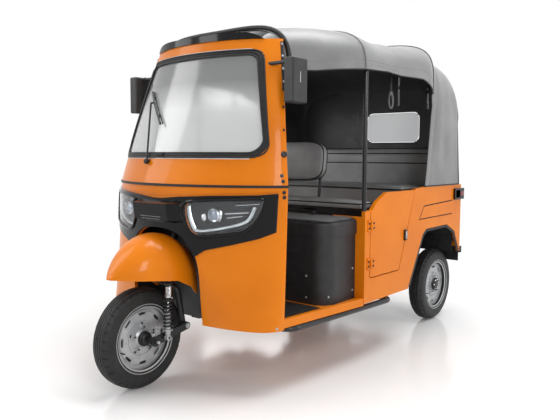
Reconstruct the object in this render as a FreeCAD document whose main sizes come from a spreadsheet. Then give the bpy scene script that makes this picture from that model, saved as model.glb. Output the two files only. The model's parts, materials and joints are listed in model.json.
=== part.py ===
import FreeCAD, Part
import Sketcher
import math
import os
from FreeCAD import Placement, Rotation, Vector

# Auto rickshaw: three wheels, open cabin, fabric roof.
# Millimetres. The nose points to -Y, the vehicle's left is +X and the ground is z = 0.
# Y = 0 lies half-way between the front and the rear axle.

SIZES = {
    # Wheels and stance
    "wheelbase": 2125,
    "rear_track": 1040,
    "tyre_radius": 245,
    "tyre_width": 104,
    "tyre_crown": 12,
    "bead_radius": 156,
    "rim_flange_radius": 169,
    "rim_width": 88,
    "rim_wall": 4,
    "disc_radius": 96,
    "hub_radius": 46,
    "slot_ring": 121,
    "slot_length": 44,
    "slot_width": 13,
    "hole_ring": 74,
    "hole_width": 15,
    "axle_radius": 12,
    "running_gap": 0.05,
    "seat_gap": 0.3,
    # Steering
    "rake_angle": 22,
    "steering_trail": 57.5,
    "column_radius": 17,
    "head_tube_radius": 28,
    "head_tube_bottom": 805,
    "head_tube_top": 960,
    "column_bottom": 560,
    "column_top": 1062,
    "handlebar_reach": 300,
    "handlebar_sweep": 105,
    "bar_radius": 11,
    "grip_radius": 17,
    "leg_offset": 92,
    "leg_radius": 16,
    "link_pivot_back": 199.5,
    "link_pivot_up": 38,
    "link_width": 18,
    "strut_offset": 144,
    "strut_back": 66,
    "strut_top_height": 540,
    "strut_foot_height": 257,
    "spring_radius": 25,
    # Body shell
    "body_half_width": 660,
    "panel_wall": 22,
    "cowl_wall": 20,
    "cowl_bottom": 308,
    "cowl_half_bottom": 605,
    "cowl_half": 604,
    "cowl_rear": -664,
    "cowl_rear_bottom": -690,
    "cowl_nose_bottom": -888,
    "cowl_nose": -932,
    "straight_edge": 6,
    "bead_height": 985,
    "bead_thick": 12,
    "bead_stand": 6,
    "cowl_middle": 650,
    "screen_low": 1144,
    "screen_half": 573,
    "screen_rear": -637,
    "screen_nose": -868,
    "header_height": 1700,
    "header_half": 452,
    "header_rear": -516,
    "header_nose": -682,
    "screen_bottom": 1118,
    "screen_top": 1645,
    "screen_half_low": 532,
    "screen_half_high": 401,
    "screen_corner": 70,
    "gasket_width": 26,
    "glass_wall": 6,
    "fascia_stand": 9,
    "beak_reach": 62,
    "beak_half": 215,
    "lamp_rim": 6,
    "lamp_depth": 64,
    "lamp_wall": 4,
    "wheel_opening_half": 250,
    "wheel_opening_spring": 500,
    "wheel_opening_top": 775,
    "well_half": 262,
    "well_back": -712,
    "well_top": 800,
    "sheet_wall": 6,
    # Floor and side panels
    "floor_top": 350,
    "floor_thick": 22,
    "mat_thick": 6,
    "sill_top": 356,
    "body_front": -60,
    "body_bottom": 325,
    "body_front_top": 832,
    "body_top": 940,
    "body_rear": 1228,
    "door_front": 0,
    "door_bottom": 462,
    "door_rear_low": 331,
    "door_rear_high": 526,
    "door_gap": 6,
    "door_front_top": 830,
    "groove_width": 8,
    "groove_depth": 5,
    "door_corner": 16,
    "arch_front": 455,
    "arch_shoulder": 674,
    "arch_top": 672,
    "arch_rear": 1133,
    "rear_bottom": 460,
    "back_bottom": 505,
    "lid_half": 400,
    "lid_bottom": 560,
    "lid_top": 850,
    "plate_hole_radius": 3.5,
    "plate_hole_pitch": 200,
    "plate_hole_height": 530,
    # Cabin fittings
    "post_place": -85,
    "post_radius": 13,
    "post_top": 1622,
    "roof_edge": 1584,
    "box_front": -340,
    "box_half": 600,
    "box_top": 710,
    "box_corner": 90,
    "lid_round": 20,
    "driver_seat_top": 790,
    "bulkhead_top": 800,
    "bench_front": 520,
    "bench_base_top": 790,
    "bench_top": 935,
    "bench_rear": 1075,
    "backrest_high": 1210,
    "backrest_thick": 120,
    "driver_back_low": 990,
    "driver_back_high": 1198,
    # Canopy
    "canopy_wall": 10,
    "canopy_out": 8,
    "bow_out": 43,
    "corner_flap": 60,
    "corner_flap_low": 1425,
    "roof_crown": 1818,
    "canopy_spring": 1450,
    "rear_bow": 645,
    "bow_radius": 9,
    "hood_rear": 1165,
    "window_half": 215,
    "window_place": 150,
    "window_low": 1233,
    "window_high": 1450,
    # Frame
    "rail_offset": 280,
    "rail_width": 50,
    "rail_height": 60,
    "rail_bottom": 265,
    "rail_front": -690,
    "rail_rear": 1170,
    "cross_width": 50,
    "cross_front": -200,
    "cross_middle": 380,
    "cross_rear": 720,
    "tube_radius": 16,
    "tube_front": -640,
    "tube_rear": 262,
    "tow_reach": 120,
    "tow_thick": 12,
    "tow_hole_radius": 11,
    "engine_length": 330,
    "engine_width": 380,
    "engine_height": 300,
}

doc = FreeCAD.newDocument("auto_rickshaw")
sheet = doc.addObject("Spreadsheet::Sheet", "sizes")
for row, (alias, number) in enumerate(SIZES.items(), start=1):
    sheet.set("A%d" % row, alias)
    sheet.set("B%d" % row, str(number))
    sheet.setAlias("B%d" % row, alias)
doc.recompute()

NODES = []


def read(alias):
    return float(sheet.get(alias))


# Small helpers for the document

def keep(obj, name):
    obj.Label = name
    NODES.append(obj)
    return obj


def bind(obj, prop, formula):
    obj.setExpression(prop, formula)


def place(obj, x="0", y="0", z="0"):
    bind(obj, "Placement.Base.x", x)
    bind(obj, "Placement.Base.y", y)
    bind(obj, "Placement.Base.z", z)


def feature(name, shape, placement=None):
    obj = doc.addObject("Part::Feature", name)
    obj.Shape = shape
    if placement is not None:
        obj.Placement = placement
    return keep(obj, name)


def box_object(name, length, width, height, x, y, z):
    obj = doc.addObject("Part::Box", name)
    bind(obj, "Length", length)
    bind(obj, "Width", width)
    bind(obj, "Height", height)
    place(obj, x, y, z)
    return obj


def join(name, objects):
    obj = doc.addObject("Part::MultiFuse", name)
    obj.Shapes = objects
    return obj


def cut(name, base, tool):
    obj = doc.addObject("Part::Cut", name)
    obj.Base = base
    obj.Tool = tool
    return obj


def plane_of(body, role):
    for item in body.Origin.OriginFeatures:
        if item.Role == role:
            return item
    raise ValueError(role)


def bound_sketch(body, name, role, corners):
    """Closed outline whose corners are pairs of formulas."""
    sketch = body.newObject("Sketcher::SketchObject", name)
    sketch.AttachmentSupport = [(plane_of(body, role), "")]
    sketch.MapMode = "FlatFace"
    count = len(corners)
    spots = []
    for across, along in corners:
        sketch.setExpression(".AttachmentOffset.Base.x", across)
        doc.recompute([sketch])
        first = sketch.AttachmentOffset.Base.x
        sketch.setExpression(".AttachmentOffset.Base.x", along)
        doc.recompute([sketch])
        spots.append(Vector(first, sketch.AttachmentOffset.Base.x, 0))
    sketch.setExpression(".AttachmentOffset.Base.x", None)
    sketch.AttachmentOffset = Placement()
    for index in range(count):
        line = Part.LineSegment(spots[index], spots[(index + 1) % count])
        sketch.addGeometry(line, False)
    for index in range(count):
        after = (index + 1) % count
        sketch.addConstraint(Sketcher.Constraint("Coincident", index, 2, after, 1))
    for index, (across, along) in enumerate(corners):
        for kind, formula, value in (
            ("DistanceX", across, spots[index].x),
            ("DistanceY", along, spots[index].y),
        ):
            number = sketch.addConstraint(Sketcher.Constraint(kind, -1, 1, index, 1, value))
            sketch.setExpression("Constraints[%d]" % number, formula)
    return sketch


def turned_body(name, corners):
    """Body of revolution about its own X axis; corners are (x, radius) formulas."""
    body = doc.addObject("PartDesign::Body", name)
    sketch = bound_sketch(body, name + "_profile", "XZ_Plane", corners)
    turn = body.newObject("PartDesign::Revolution", name + "_turn")
    turn.Profile = sketch
    turn.ReferenceAxis = (sketch, ["H_Axis"])
    turn.Angle = 360
    body.Tip = turn
    return body


def hole_ring(body, name, ring, length, width, count):
    """Ring of equal holes through a wheel disc, cut along its axle."""
    half_long = "%s / 2" % length
    half_wide = "%s / 2" % width
    sketch = bound_sketch(body, name + "_outline", "YZ_Plane", [
        ("-" + half_long, "%s - %s" % (ring, half_wide)),
        (half_long, "%s - %s" % (ring, half_wide)),
        (half_long, "%s + %s" % (ring, half_wide)),
        ("-" + half_long, "%s + %s" % (ring, half_wide)),
    ])
    pocket = body.newObject("PartDesign::Pocket", name + "_pocket")
    pocket.Profile = sketch
    pocket.Type = "ThroughAll"
    pocket.Midplane = True
    body.Tip = pocket
    pattern = body.newObject("PartDesign::PolarPattern", name + "_ring")
    pattern.Originals = [pocket]
    pattern.Axis = (plane_of(body, "X_Axis"), [""])
    pattern.Angle = 360
    pattern.Occurrences = count
    body.Tip = pattern


# Curves and shells

def power_point(angle, half, depth, fullness, rise=None):
    """Point of a rounded outline, at an angle from its right end."""
    if rise is None:
        rise = 1 / fullness
    across = math.cos(angle)
    ahead = math.sin(angle)
    x = math.copysign(abs(across) ** (2 / fullness), across) * half
    y = abs(ahead) ** (2 * rise) * depth
    return x, y


def plan_wire(level, half, rear, nose, roundness, back):
    """Closed plan outline at a height: rounded nose, straight back."""
    steps = 20
    base = rear - read("straight_edge")
    points = []
    for index in range(steps + 1):
        x, ahead = power_point(math.pi * index / steps, half, base - nose, *roundness)
        points.append(Vector(x, base - ahead, level))
    curve = Part.BSplineCurve()
    curve.interpolate(points)
    right = Vector(half, back, level)
    left = Vector(-half, back, level)
    edges = [
        Part.makeLine(right, points[0]),
        curve.toShape(),
        Part.makeLine(points[-1], left),
        Part.makeLine(left, right),
    ]
    return Part.Wire(edges)


FULL = (2.4, 0.42)
SOFT = (2.0, 0.7)
WAIST = (2.0, 0.8)
SCREEN = (2.0, 0.75)


def waist_level(height):
    return (height, read("cowl_half"), read("cowl_rear"), read("cowl_nose"), WAIST)


def nose_levels():
    """Height, half width, rear edge, nose and roundness of the front shell."""
    bead = read("bead_height") - read("bead_thick") / 2
    return [
        (read("cowl_bottom"), read("cowl_half_bottom"), read("cowl_rear_bottom"),
         read("cowl_nose_bottom"), FULL),
        (read("cowl_middle"), read("cowl_half") + 2, read("cowl_rear") - 14, read("cowl_nose"), SOFT),
        waist_level(bead),
    ]


def screen_levels():
    bead = read("bead_height") + read("bead_thick") / 2
    return [
        waist_level(bead),
        (read("screen_low"), read("screen_half"), read("screen_rear"), read("screen_nose"), SCREEN),
        (read("header_height"), read("header_half"), read("header_rear"), read("header_nose"), SCREEN),
    ]


def screen_point(x, height, stand):
    """Point on the screen's outside at a place and height, held off by a stand."""
    low, high = screen_levels()[1:]
    share = (height - low[0]) / (high[0] - low[0])
    half, rear, nose = (low[index] + share * (high[index] - low[index]) for index in (1, 2, 3))
    base = rear - read("straight_edge")
    depth = (1 - (abs(x) / half) ** SCREEN[0]) ** SCREEN[1] * (base - nose)
    return Vector(x, base - depth - stand, height)


def nose_solid(levels, inset, back):
    """Solid of the front shell, drawn in by an inset on all curved sides."""
    wires = []
    for level, half, rear, nose, roundness in levels:
        wires.append(plan_wire(level, half - inset, rear, nose + inset, roundness, rear + back))
    return Part.makeLoft(wires, True, False)


def nose_shell(levels, outer_inset, inner_inset):
    outer = nose_solid(levels, outer_inset, 0)
    inner = nose_solid(levels, inner_inset, 60)
    return outer.cut(inner)


def side_prism(points, x_from, x_to):
    """Outline in the side plane, pushed across the vehicle."""
    corners = [Vector(x_from, y, z) for y, z in points]
    face = Part.Face(Part.makePolygon(corners + [corners[0]]))
    return face.extrude(Vector(x_to - x_from, 0, 0))


def front_prism(wire, y_from, y_to):
    face = Part.Face(wire)
    face.translate(Vector(0, y_from, 0))
    return face.extrude(Vector(0, y_to - y_from, 0))


def rounded_wire(corners, radius):
    """Closed outline in the front plane with rounded corners."""
    edges = []
    count = len(corners)
    spots = [Vector(x, 0, z) for x, z in corners]
    ends = []
    for index in range(count):
        here = spots[index]
        before = (spots[index - 1] - here).normalize()
        after = (spots[(index + 1) % count] - here).normalize()
        turn = before.getAngle(after)
        back_off = radius / math.tan(turn / 2)
        start = here + before * back_off
        finish = here + after * back_off
        middle_way = (before + after).normalize()
        centre = here + middle_way * (radius / math.sin(turn / 2))
        middle = centre - middle_way * radius
        ends.append((start, middle, finish))
    for index in range(count):
        start, middle, finish = ends[index]
        edges.append(Part.Arc(start, middle, finish).toShape())
        edges.append(Part.makeLine(finish, ends[(index + 1) % count][0]))
    return Part.Wire(edges)


def side_wire(points, radius):
    """Closed outline in the side plane with rounded corners."""
    wire = rounded_wire(points, radius)
    wire.rotate(Vector(), Vector(0, 0, 1), 90)
    return wire


def side_slab(points, radius, x_from, x_to):
    face = Part.Face(side_wire(points, radius))
    face.translate(Vector(x_from, 0, 0))
    return face.extrude(Vector(x_to - x_from, 0, 0))


def canopy_half():
    return read("body_half_width") + read("canopy_out")


def bow_half():
    return read("body_half_width") + read("bow_out")


def mirror(shape):
    return shape.mirror(Vector(0, 0, 0), Vector(1, 0, 0))


def both_sides(shape):
    return Part.makeCompound([shape, mirror(shape)])


# Wheels

def make_wheel(prefix, x, y):
    tyre = turned_body(prefix + "_tyre", [
        ("-sizes.rim_width / 2", "sizes.bead_radius"),
        ("-sizes.tyre_width / 2", "sizes.rim_flange_radius + 26"),
        ("-sizes.tyre_width / 2 + 2", "sizes.tyre_radius - 34"),
        ("-sizes.tyre_width / 2 + 16", "sizes.tyre_radius - sizes.tyre_crown"),
        ("-sizes.tyre_width / 6", "sizes.tyre_radius - 1"),
        ("0", "sizes.tyre_radius"),
        ("sizes.tyre_width / 6", "sizes.tyre_radius - 1"),
        ("sizes.tyre_width / 2 - 16", "sizes.tyre_radius - sizes.tyre_crown"),
        ("sizes.tyre_width / 2 - 2", "sizes.tyre_radius - 34"),
        ("sizes.tyre_width / 2", "sizes.rim_flange_radius + 26"),
        ("sizes.rim_width / 2", "sizes.bead_radius"),
    ])
    rim = turned_body(prefix + "_rim", [
        ("-sizes.rim_width / 2", "sizes.bead_radius"),
        ("-sizes.rim_width / 2", "sizes.bead_radius - sizes.rim_wall"),
        ("-sizes.rim_width / 4", "sizes.bead_radius - sizes.rim_wall"),
        ("-sizes.rim_width / 8", "sizes.bead_radius - 20 - sizes.rim_wall"),
        ("sizes.rim_width / 8", "sizes.bead_radius - 20 - sizes.rim_wall"),
        ("sizes.rim_width / 4 - 4", "sizes.disc_radius"),
        ("sizes.rim_width / 4 - 4", "sizes.hub_radius"),
        ("-sizes.rim_width / 2", "sizes.hub_radius"),
        ("-sizes.rim_width / 2", "sizes.axle_radius + sizes.running_gap"),
        ("sizes.rim_width / 2 - 8", "sizes.axle_radius + sizes.running_gap"),
        ("sizes.rim_width / 2 - 8", "sizes.hub_radius - 14"),
        ("sizes.rim_width / 4 + 2", "sizes.hub_radius"),
        ("sizes.rim_width / 4 + 2", "sizes.disc_radius"),
        ("sizes.rim_width / 4", "sizes.bead_radius - 20"),
        ("sizes.rim_width / 4", "sizes.bead_radius"),
    ])
    hole_ring(rim, prefix + "_slot", "sizes.slot_ring", "sizes.slot_length", "sizes.slot_width", 8)
    hole_ring(rim, prefix + "_hole", "sizes.hole_ring", "sizes.hole_width", "sizes.hole_width", 5)
    for body in (tyre, rim):
        place(body, x, y, "sizes.tyre_radius")
    keep(tyre, prefix + "_tyre")
    keep(rim, prefix + "_rim")


make_wheel("front", "0", "-sizes.wheelbase / 2")
make_wheel("rear_left", "sizes.rear_track / 2", "sizes.wheelbase / 2")
make_wheel("rear_right", "-sizes.rear_track / 2", "sizes.wheelbase / 2")
for right_node in NODES[-2:]:
    right_node.Placement = Placement(right_node.Placement.Base, Rotation(Vector(0, 0, 1), 180))

# Steering, built upright about its own axis and then leaned back

STEER_TURN = Rotation(Vector(1, 0, 0), -read("rake_angle"))
STEER_FOOT = Vector(0, -read("wheelbase") / 2 - read("steering_trail"), 0)
STEER_PLACE = Placement(STEER_FOOT, STEER_TURN)


def tube_between(start, finish, radius):
    way = finish - start
    return Part.makeCylinder(radius, way.Length, start, way)


def bent_tube(points, radius, bend=2.5):
    """Round bar along straight runs, each corner bent to a multiple of the bar's radius."""
    edges = []
    start = points[0]
    for index in range(1, len(points) - 1):
        here = points[index]
        before = (points[index - 1] - here).normalize()
        after = (points[index + 1] - here).normalize()
        turn = before.getAngle(after)
        back_off = bend * radius / math.tan(turn / 2)
        enter = here + before * back_off
        leave = here + after * back_off
        middle_way = (before + after).normalize()
        centre = here + middle_way * (bend * radius / math.sin(turn / 2))
        edges.append(Part.makeLine(start, enter))
        edges.append(Part.Arc(enter, centre - middle_way * bend * radius, leave).toShape())
        start = leave
    edges.append(Part.makeLine(start, points[-1]))
    path = Part.Wire(edges)
    circle = Part.Wire([Part.makeCircle(radius, points[0], points[1] - points[0])])
    return path.makePipeShell([circle], True, True)


def arch_section(place_y, half, foot, spring, crown, power, foot_half=None):
    """Closed section at a station: straight sides, drawn in at the foot, and a rounded top."""
    if foot_half is None:
        foot_half = half
    steps = 14
    points = []
    for index in range(steps + 1):
        x, rise = power_point(math.pi * index / steps, half, crown - spring, power)
        points.append(Vector(x, place_y, spring + rise))
    curve = Part.BSplineCurve()
    curve.interpolate(points)
    right = Vector(foot_half, place_y, foot)
    left = Vector(-foot_half, place_y, foot)
    edges = [
        Part.makeLine(right, points[0]),
        curve.toShape(),
        Part.makeLine(points[-1], left),
        Part.makeLine(left, right),
    ]
    return Part.Wire(edges)


def make_column():
    bottom = read("column_bottom")
    top = read("column_top")
    column = Part.makeCylinder(read("column_radius"), top - bottom, Vector(0, 0, bottom))
    column.Placement = STEER_PLACE
    feature("steering_column", column)


def make_handlebar():
    top = read("column_top")
    reach = read("handlebar_reach")
    sweep = read("handlebar_sweep")
    bar = bent_tube([
        Vector(-reach, sweep, 0),
        Vector(-reach * 0.55, sweep * 0.6, 0),
        Vector(-reach * 0.25, 0, 0),
        Vector(reach * 0.25, 0, 0),
        Vector(reach * 0.55, sweep * 0.6, 0),
        Vector(reach, sweep, 0),
    ], read("bar_radius"))
    inner = Vector(reach * 0.62, sweep * 0.66, 0)
    grip = tube_between(inner, Vector(reach + 4, sweep * 1.005, 0), read("grip_radius"))
    clamp = Part.makeBox(90, 50, 34, Vector(-45, -25, -17))
    shape = bar.fuse([grip, mirror(grip), clamp])
    shape.Placement = Placement(STEER_PLACE.multVec(Vector(0, 0, top + 17)), STEER_TURN)
    feature("handlebar", shape)


def make_fork():
    side = read("leg_offset")
    bottom = STEER_PLACE.multVec(Vector(0, 0, read("column_bottom") - read("leg_radius") - 2))
    pivot = Vector(side, read("link_pivot_back") - read("wheelbase") / 2, 245 + read("link_pivot_up"))
    knee = Vector(side, bottom.y + 20, bottom.z - 40)
    shoulder = Vector(side * 0.55, bottom.y, bottom.z - 2)
    crown = Part.makeCylinder(30, 34, Vector(0, 0, 0))
    crown.Placement = Placement(STEER_PLACE.multVec(Vector(0, 0, read("column_bottom") - 34)), STEER_TURN)
    leg = bent_tube([bottom, shoulder, knee, pivot], read("leg_radius"))
    top_eye = Vector(read("strut_offset"), read("strut_back") - read("wheelbase") / 2,
                     read("strut_top_height"))
    arm = bent_tube([shoulder, top_eye], 11)
    reach = read("leg_radius") + 1
    boss = Part.makeCylinder(18, 2 * reach, pivot - Vector(reach, 0, 0), Vector(1, 0, 0))
    eye = Part.makeCylinder(17, 20, top_eye - Vector(10, 0, 0), Vector(1, 0, 0))
    shape = crown.fuse([leg, arm, boss, eye])
    feature("front_fork", shape.removeSplitter())
    return pivot, top_eye


def make_link(pivot, top_eye):
    axle = Vector(0, -read("wheelbase") / 2, read("tyre_radius"))
    start = pivot.x + read("leg_radius") + 1 + read("seat_gap")
    width = read("link_width")
    far = Vector(start, axle.y, axle.z)
    near = Vector(start, pivot.y, pivot.z)
    across = Vector(width, 0, 0)
    outline = Part.makePolygon([
        near + Vector(0, 0, 18), near - Vector(0, 0, 18),
        far - Vector(0, 0, 20), far + Vector(0, 0, 20), near + Vector(0, 0, 18),
    ])
    arm = Part.Face(outline).extrude(across)
    knob = Part.makeCylinder(18, width, near, Vector(1, 0, 0))
    hub = Part.makeCylinder(24, width, far, Vector(1, 0, 0))
    shaft = Part.makeCylinder(read("axle_radius"), start + 48, Vector(-48, axle.y, axle.z), Vector(1, 0, 0))
    foot = Vector(start + width, read("strut_back") - read("wheelbase") / 2 - 10, read("strut_foot_height"))
    pin = Part.makeCylinder(9, read("strut_offset") - foot.x - 12, foot, Vector(1, 0, 0))
    feature("front_link", arm.fuse([knob, hub, shaft, pin]))
    return Vector(read("strut_offset"), foot.y, foot.z)


def make_strut(foot, top_eye):
    top = top_eye - Vector(0, 0, 17 + read("seat_gap"))
    way = (top - foot).normalize()
    base = foot + way * 10
    lower = Part.makeCylinder(14, 24, foot - Vector(12, 0, 0), Vector(1, 0, 0))
    damper = Part.makeCylinder(13, 120, base, way)
    rod = tube_between(base, top, 7)
    coil_start = base + way * 30
    coil = Part.makeCylinder(read("spring_radius"), 150, coil_start, way)
    cap = Part.makeCylinder(20, 16, top - way * 16, way)
    feature("front_strut", lower.fuse([damper, rod, coil, cap]))


def mudguard_stations(inset):
    """Stations along the front mudguard: place, half width, lower edge, crown."""
    stations = [
        (-1236, 14, 548, 560),
        (-1200, 62, 548, 610),
        (-1130, 120, 546, 684),
        (-1045, 155, 541, 735),
        (-950, 168, 526, 747),
        (-875, 164, 490, 722),
        (-815, 150, 446, 688),
    ]
    wires = []
    for place_y, half, low, crown in stations:
        wires.append(arch_section(place_y, half - inset, low - 60, low, crown - inset, 2.3))
    return wires


def make_mudguard():
    wall = read("sheet_wall")
    outer = Part.makeLoft(mudguard_stations(0), True, False)
    inner = Part.makeLoft(mudguard_stations(wall), True, False)
    skin = outer.cut(inner)
    below = side_prism([
        (-1300, 400), (-1300, 552), (-1223, 552), (-1081, 543), (-958, 529),
        (-867, 485), (-828, 446), (-790, 430), (-790, 300),
    ], -300, 300)
    skin = skin.cut(below)
    hole = Part.makeCylinder(read("column_radius") + 0.3, 400, Vector(0, 0, 600))
    hole.Placement = STEER_PLACE
    feature("front_mudguard", skin.cut(hole))


make_column()
make_handlebar()
LINK_PIVOT, STRUT_EYE = make_fork()
STRUT_FOOT = make_link(LINK_PIVOT, STRUT_EYE)
make_strut(STRUT_FOOT, STRUT_EYE)
make_mudguard()


# Front shell

FASCIA_HALF = [(0, 700), (231, 646), (285, 680), (425, 715), (524, 744), (580, 773),
               (581, 953), (517, 946), (306, 940), (146, 931), (40, 921), (0, 920)]
LAMP_OUTLINE = [(177, 885), (179, 837), (205, 772), (247, 747), (309, 749), (424, 765),
                (476, 783), (517, 847), (534, 903), (526, 930), (420, 927), (258, 918), (194, 907)]


def fascia_band():
    """Front view of the black mask, pushed backwards through the nose."""
    points = [Vector(x, 0, z) for x, z in FASCIA_HALF]
    points += [Vector(-x, 0, z) for x, z in reversed(FASCIA_HALF[1:-1])]
    return front_prism(Part.makePolygon(points + [points[0]]), -1100, -600)


def lamp_prism(shrink, y_to):
    """Front view of a headlamp, drawn in towards its middle."""
    middle_x = sum(x for x, z in LAMP_OUTLINE) / len(LAMP_OUTLINE)
    middle_z = sum(z for x, z in LAMP_OUTLINE) / len(LAMP_OUTLINE)
    points = []
    for x, z in LAMP_OUTLINE:
        reach = math.hypot(x - middle_x, z - middle_z)
        scale = (reach - shrink) / reach
        points.append(Vector(middle_x + (x - middle_x) * scale, 0, middle_z + (z - middle_z) * scale))
    return front_prism(Part.makePolygon(points + [points[0]]), -1100, y_to)


def lamp_room():
    """Space that a lamp's housing takes behind the nose."""
    room = lamp_prism(read("lamp_rim"), -600)
    return room.cut(nose_solid(nose_levels(), read("lamp_depth") + read("seat_gap"), 200))


def wheel_opening():
    """Opening of the nose over the front wheel."""
    section = arch_section(-1100, read("wheel_opening_half"), 200, read("wheel_opening_spring"),
                           read("wheel_opening_top"), 2.6)
    return Part.Face(section).extrude(Vector(0, 390, 0))


def make_front_shell():
    lamp_hole = lamp_prism(read("lamp_rim"), -600)
    cowl = nose_shell(nose_levels(), 0, read("cowl_wall"))
    feature("front_cowl", cowl.cut([wheel_opening(), lamp_hole, mirror(lamp_hole)]))

    bead = read("bead_height")
    half_bead = read("bead_thick") / 2
    bead_levels = [waist_level(bead - half_bead), waist_level(bead + half_bead)]
    bead_ring = nose_shell(bead_levels, -read("bead_stand"), read("cowl_wall"))
    shell = nose_shell(screen_levels(), 0, read("panel_wall"))
    corners = [
        (read("screen_half_low"), read("screen_bottom")),
        (read("screen_half_high"), read("screen_top")),
        (-read("screen_half_high"), read("screen_top")),
        (-read("screen_half_low"), read("screen_bottom")),
    ]
    hole = front_prism(rounded_wire(corners, read("screen_corner")), -1100, -300)
    edge = read("gasket_width")
    inner_corners = [
        (read("screen_half_low") - edge, read("screen_bottom") + edge),
        (read("screen_half_high") - edge, read("screen_top") - edge),
        (-read("screen_half_high") + edge, read("screen_top") - edge),
        (-read("screen_half_low") + edge, read("screen_bottom") + edge),
    ]
    pane = front_prism(rounded_wire(inner_corners, read("screen_corner") - edge / 2), -1100, -300)
    feature("windscreen_surround", shell.cut(hole))
    gasket_skin = nose_shell(screen_levels(), -4, read("panel_wall"))
    feature("windscreen_gasket", gasket_skin.common(hole).cut(pane))
    depth = 4
    glass_skin = nose_shell(screen_levels(), depth, depth + read("glass_wall"))
    feature("windscreen_glass", glass_skin.common(pane))
    feature("waist_bead", bead_ring)


def beak():
    """Wedge that stands proud of the mask's middle."""
    nose = read("cowl_nose")
    tip = nose - read("beak_reach")
    root = nose + 20
    wires = []
    for x, ahead in ((-read("beak_half"), root), (-120, tip), (120, tip), (read("beak_half"), root)):
        corners = [Vector(x, nose + 52, 925), Vector(x, ahead, 896), Vector(x, ahead + 12, 815),
                   Vector(x, nose + 52, 786)]
        wires.append(Part.makePolygon(corners + [corners[0]]))
    return Part.makeLoft(wires, True, True)


def make_fascia():
    core = nose_solid(nose_levels(), -read("seat_gap"), 0)
    skin = nose_solid(nose_levels(), -read("fascia_stand"), 0).cut(core)
    mask = skin.common(fascia_band())
    nose_piece = beak().cut(core)
    lamp = lamp_prism(0, -600)
    openings = [wheel_opening(), lamp, mirror(lamp)]
    feature("front_fascia", mask.fuse(nose_piece).cut(openings).removeSplitter())
    stand = read("fascia_stand") + 3
    shell = nose_solid(nose_levels(), -stand, 0).cut(nose_solid(nose_levels(), -read("seat_gap") - 4, 0))
    pieces = shell.common(lamp_prism(1, -600)).Solids
    lens = max(pieces, key=lambda item: item.Volume)
    feature("headlamps", both_sides(lens))
    depth = read("lamp_depth")
    wall = read("lamp_wall")
    outer = lamp_prism(read("lamp_rim") + 0.4, -600)
    ring = outer.cut(lamp_prism(read("lamp_rim") + wall, -500)).common(nose_solid(nose_levels(), 2, 0))
    ring = ring.cut(nose_solid(nose_levels(), depth, 100))
    back = nose_solid(nose_levels(), depth - wall, 0)
    back = back.cut(nose_solid(nose_levels(), depth, 100)).common(outer)
    feature("lamp_housings", both_sides(ring.fuse(back)))


def make_well():
    """Black wheel housing behind the nose, closed to the cabin."""
    half = read("well_half")
    wall = read("sheet_wall")
    back = read("well_back")
    top = read("well_top")
    low = read("cowl_bottom")
    outer = Part.makeBox(2 * half, 300, top - low, Vector(-half, back - 300, low))
    inner = Part.makeBox(2 * half - 2 * wall, 300, top - low,
                         Vector(wall - half, back - 300 - wall, low - wall))
    well = outer.cut(inner)
    keep_in = nose_solid(nose_levels(), read("cowl_wall") + 0.3, 100)
    well = well.common(keep_in)
    hole = Part.makeCylinder(read("head_tube_radius") + 6, 600, Vector(0, 0, 600))
    hole.Placement = STEER_PLACE
    slot = Part.makeBox(31, 140, 80, Vector(-15.5, -790, 755))
    lamps = lamp_room()
    feature("front_wheel_well", well.cut([hole, slot, lamps, mirror(lamps)]))


make_front_shell()
make_fascia()
make_well()


# Frame, floor and sills

def make_frame():
    """Two rails, cross members between them, the neck with the head tube, and the towing bar."""
    members = []
    for side, place_x in (("left", "sizes.rail_offset - sizes.rail_width / 2"),
                          ("right", "-sizes.rail_offset - sizes.rail_width / 2")):
        members.append(box_object("rail_" + side, "sizes.rail_width", "sizes.rail_rear - sizes.rail_front",
                                  "sizes.rail_height", place_x, "sizes.rail_front", "sizes.rail_bottom"))
    for index, place_y in enumerate(("sizes.cross_front", "sizes.cross_middle", "sizes.cross_rear")):
        members.append(cross_member("cross_%d" % index, place_y))
    keep(join("chassis_frame", members), "chassis_frame")

    head = doc.addObject("Part::Cylinder", "head_tube")
    bind(head, "Radius", "sizes.head_tube_radius")
    bind(head, "Height", "sizes.head_tube_top - sizes.head_tube_bottom")
    head.Placement = Placement(STEER_PLACE.multVec(Vector(0, 0, read("head_tube_bottom"))), STEER_TURN)
    neck = box_object("neck", "60", "sizes.cross_width", "sizes.head_tube_top - 130 - sizes.rail_bottom",
                      "-30", "sizes.rail_front", "sizes.rail_bottom")
    gusset = box_object("gusset", "30", "100", "70", "-15", "-770", "760")
    front = cross_member("cross_neck", "sizes.rail_front")
    bore = doc.addObject("Part::Cylinder", "head_bore")
    bind(bore, "Radius", "sizes.column_radius + sizes.running_gap")
    bore.Height = 700
    bore.Placement = Placement(STEER_PLACE.multVec(Vector(0, 0, 500)), STEER_TURN)
    keep(cut("head_frame", join("head_solid", [front, neck, gusset, head]), bore), "head_frame")

    tow_plate = box_object("tow_plate", "70", "sizes.tow_reach", "sizes.tow_thick",
                           "-35", "sizes.rail_rear - 20", "sizes.rail_bottom + 5")
    tow_bore = doc.addObject("Part::Cylinder", "tow_bore")
    bind(tow_bore, "Radius", "sizes.tow_hole_radius")
    tow_bore.Height = 100
    place(tow_bore, "0", "sizes.rail_rear + sizes.tow_reach - 50", "sizes.rail_bottom - 40")
    tail = cross_member("cross_tow", "sizes.rail_rear - sizes.cross_width")
    keep(cut("tow_bar", join("tow_solid", [tail, tow_plate]), tow_bore), "tow_bar")


def cross_member(name, place_y):
    """Bar between the rails at a place along the vehicle."""
    inner = "sizes.rail_offset - sizes.rail_width / 2 - sizes.seat_gap"
    return box_object(name, "2 * (%s)" % inner, "sizes.cross_width", "sizes.rail_height - 10",
                      "-(%s)" % inner, place_y, "sizes.rail_bottom + 5")


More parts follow.
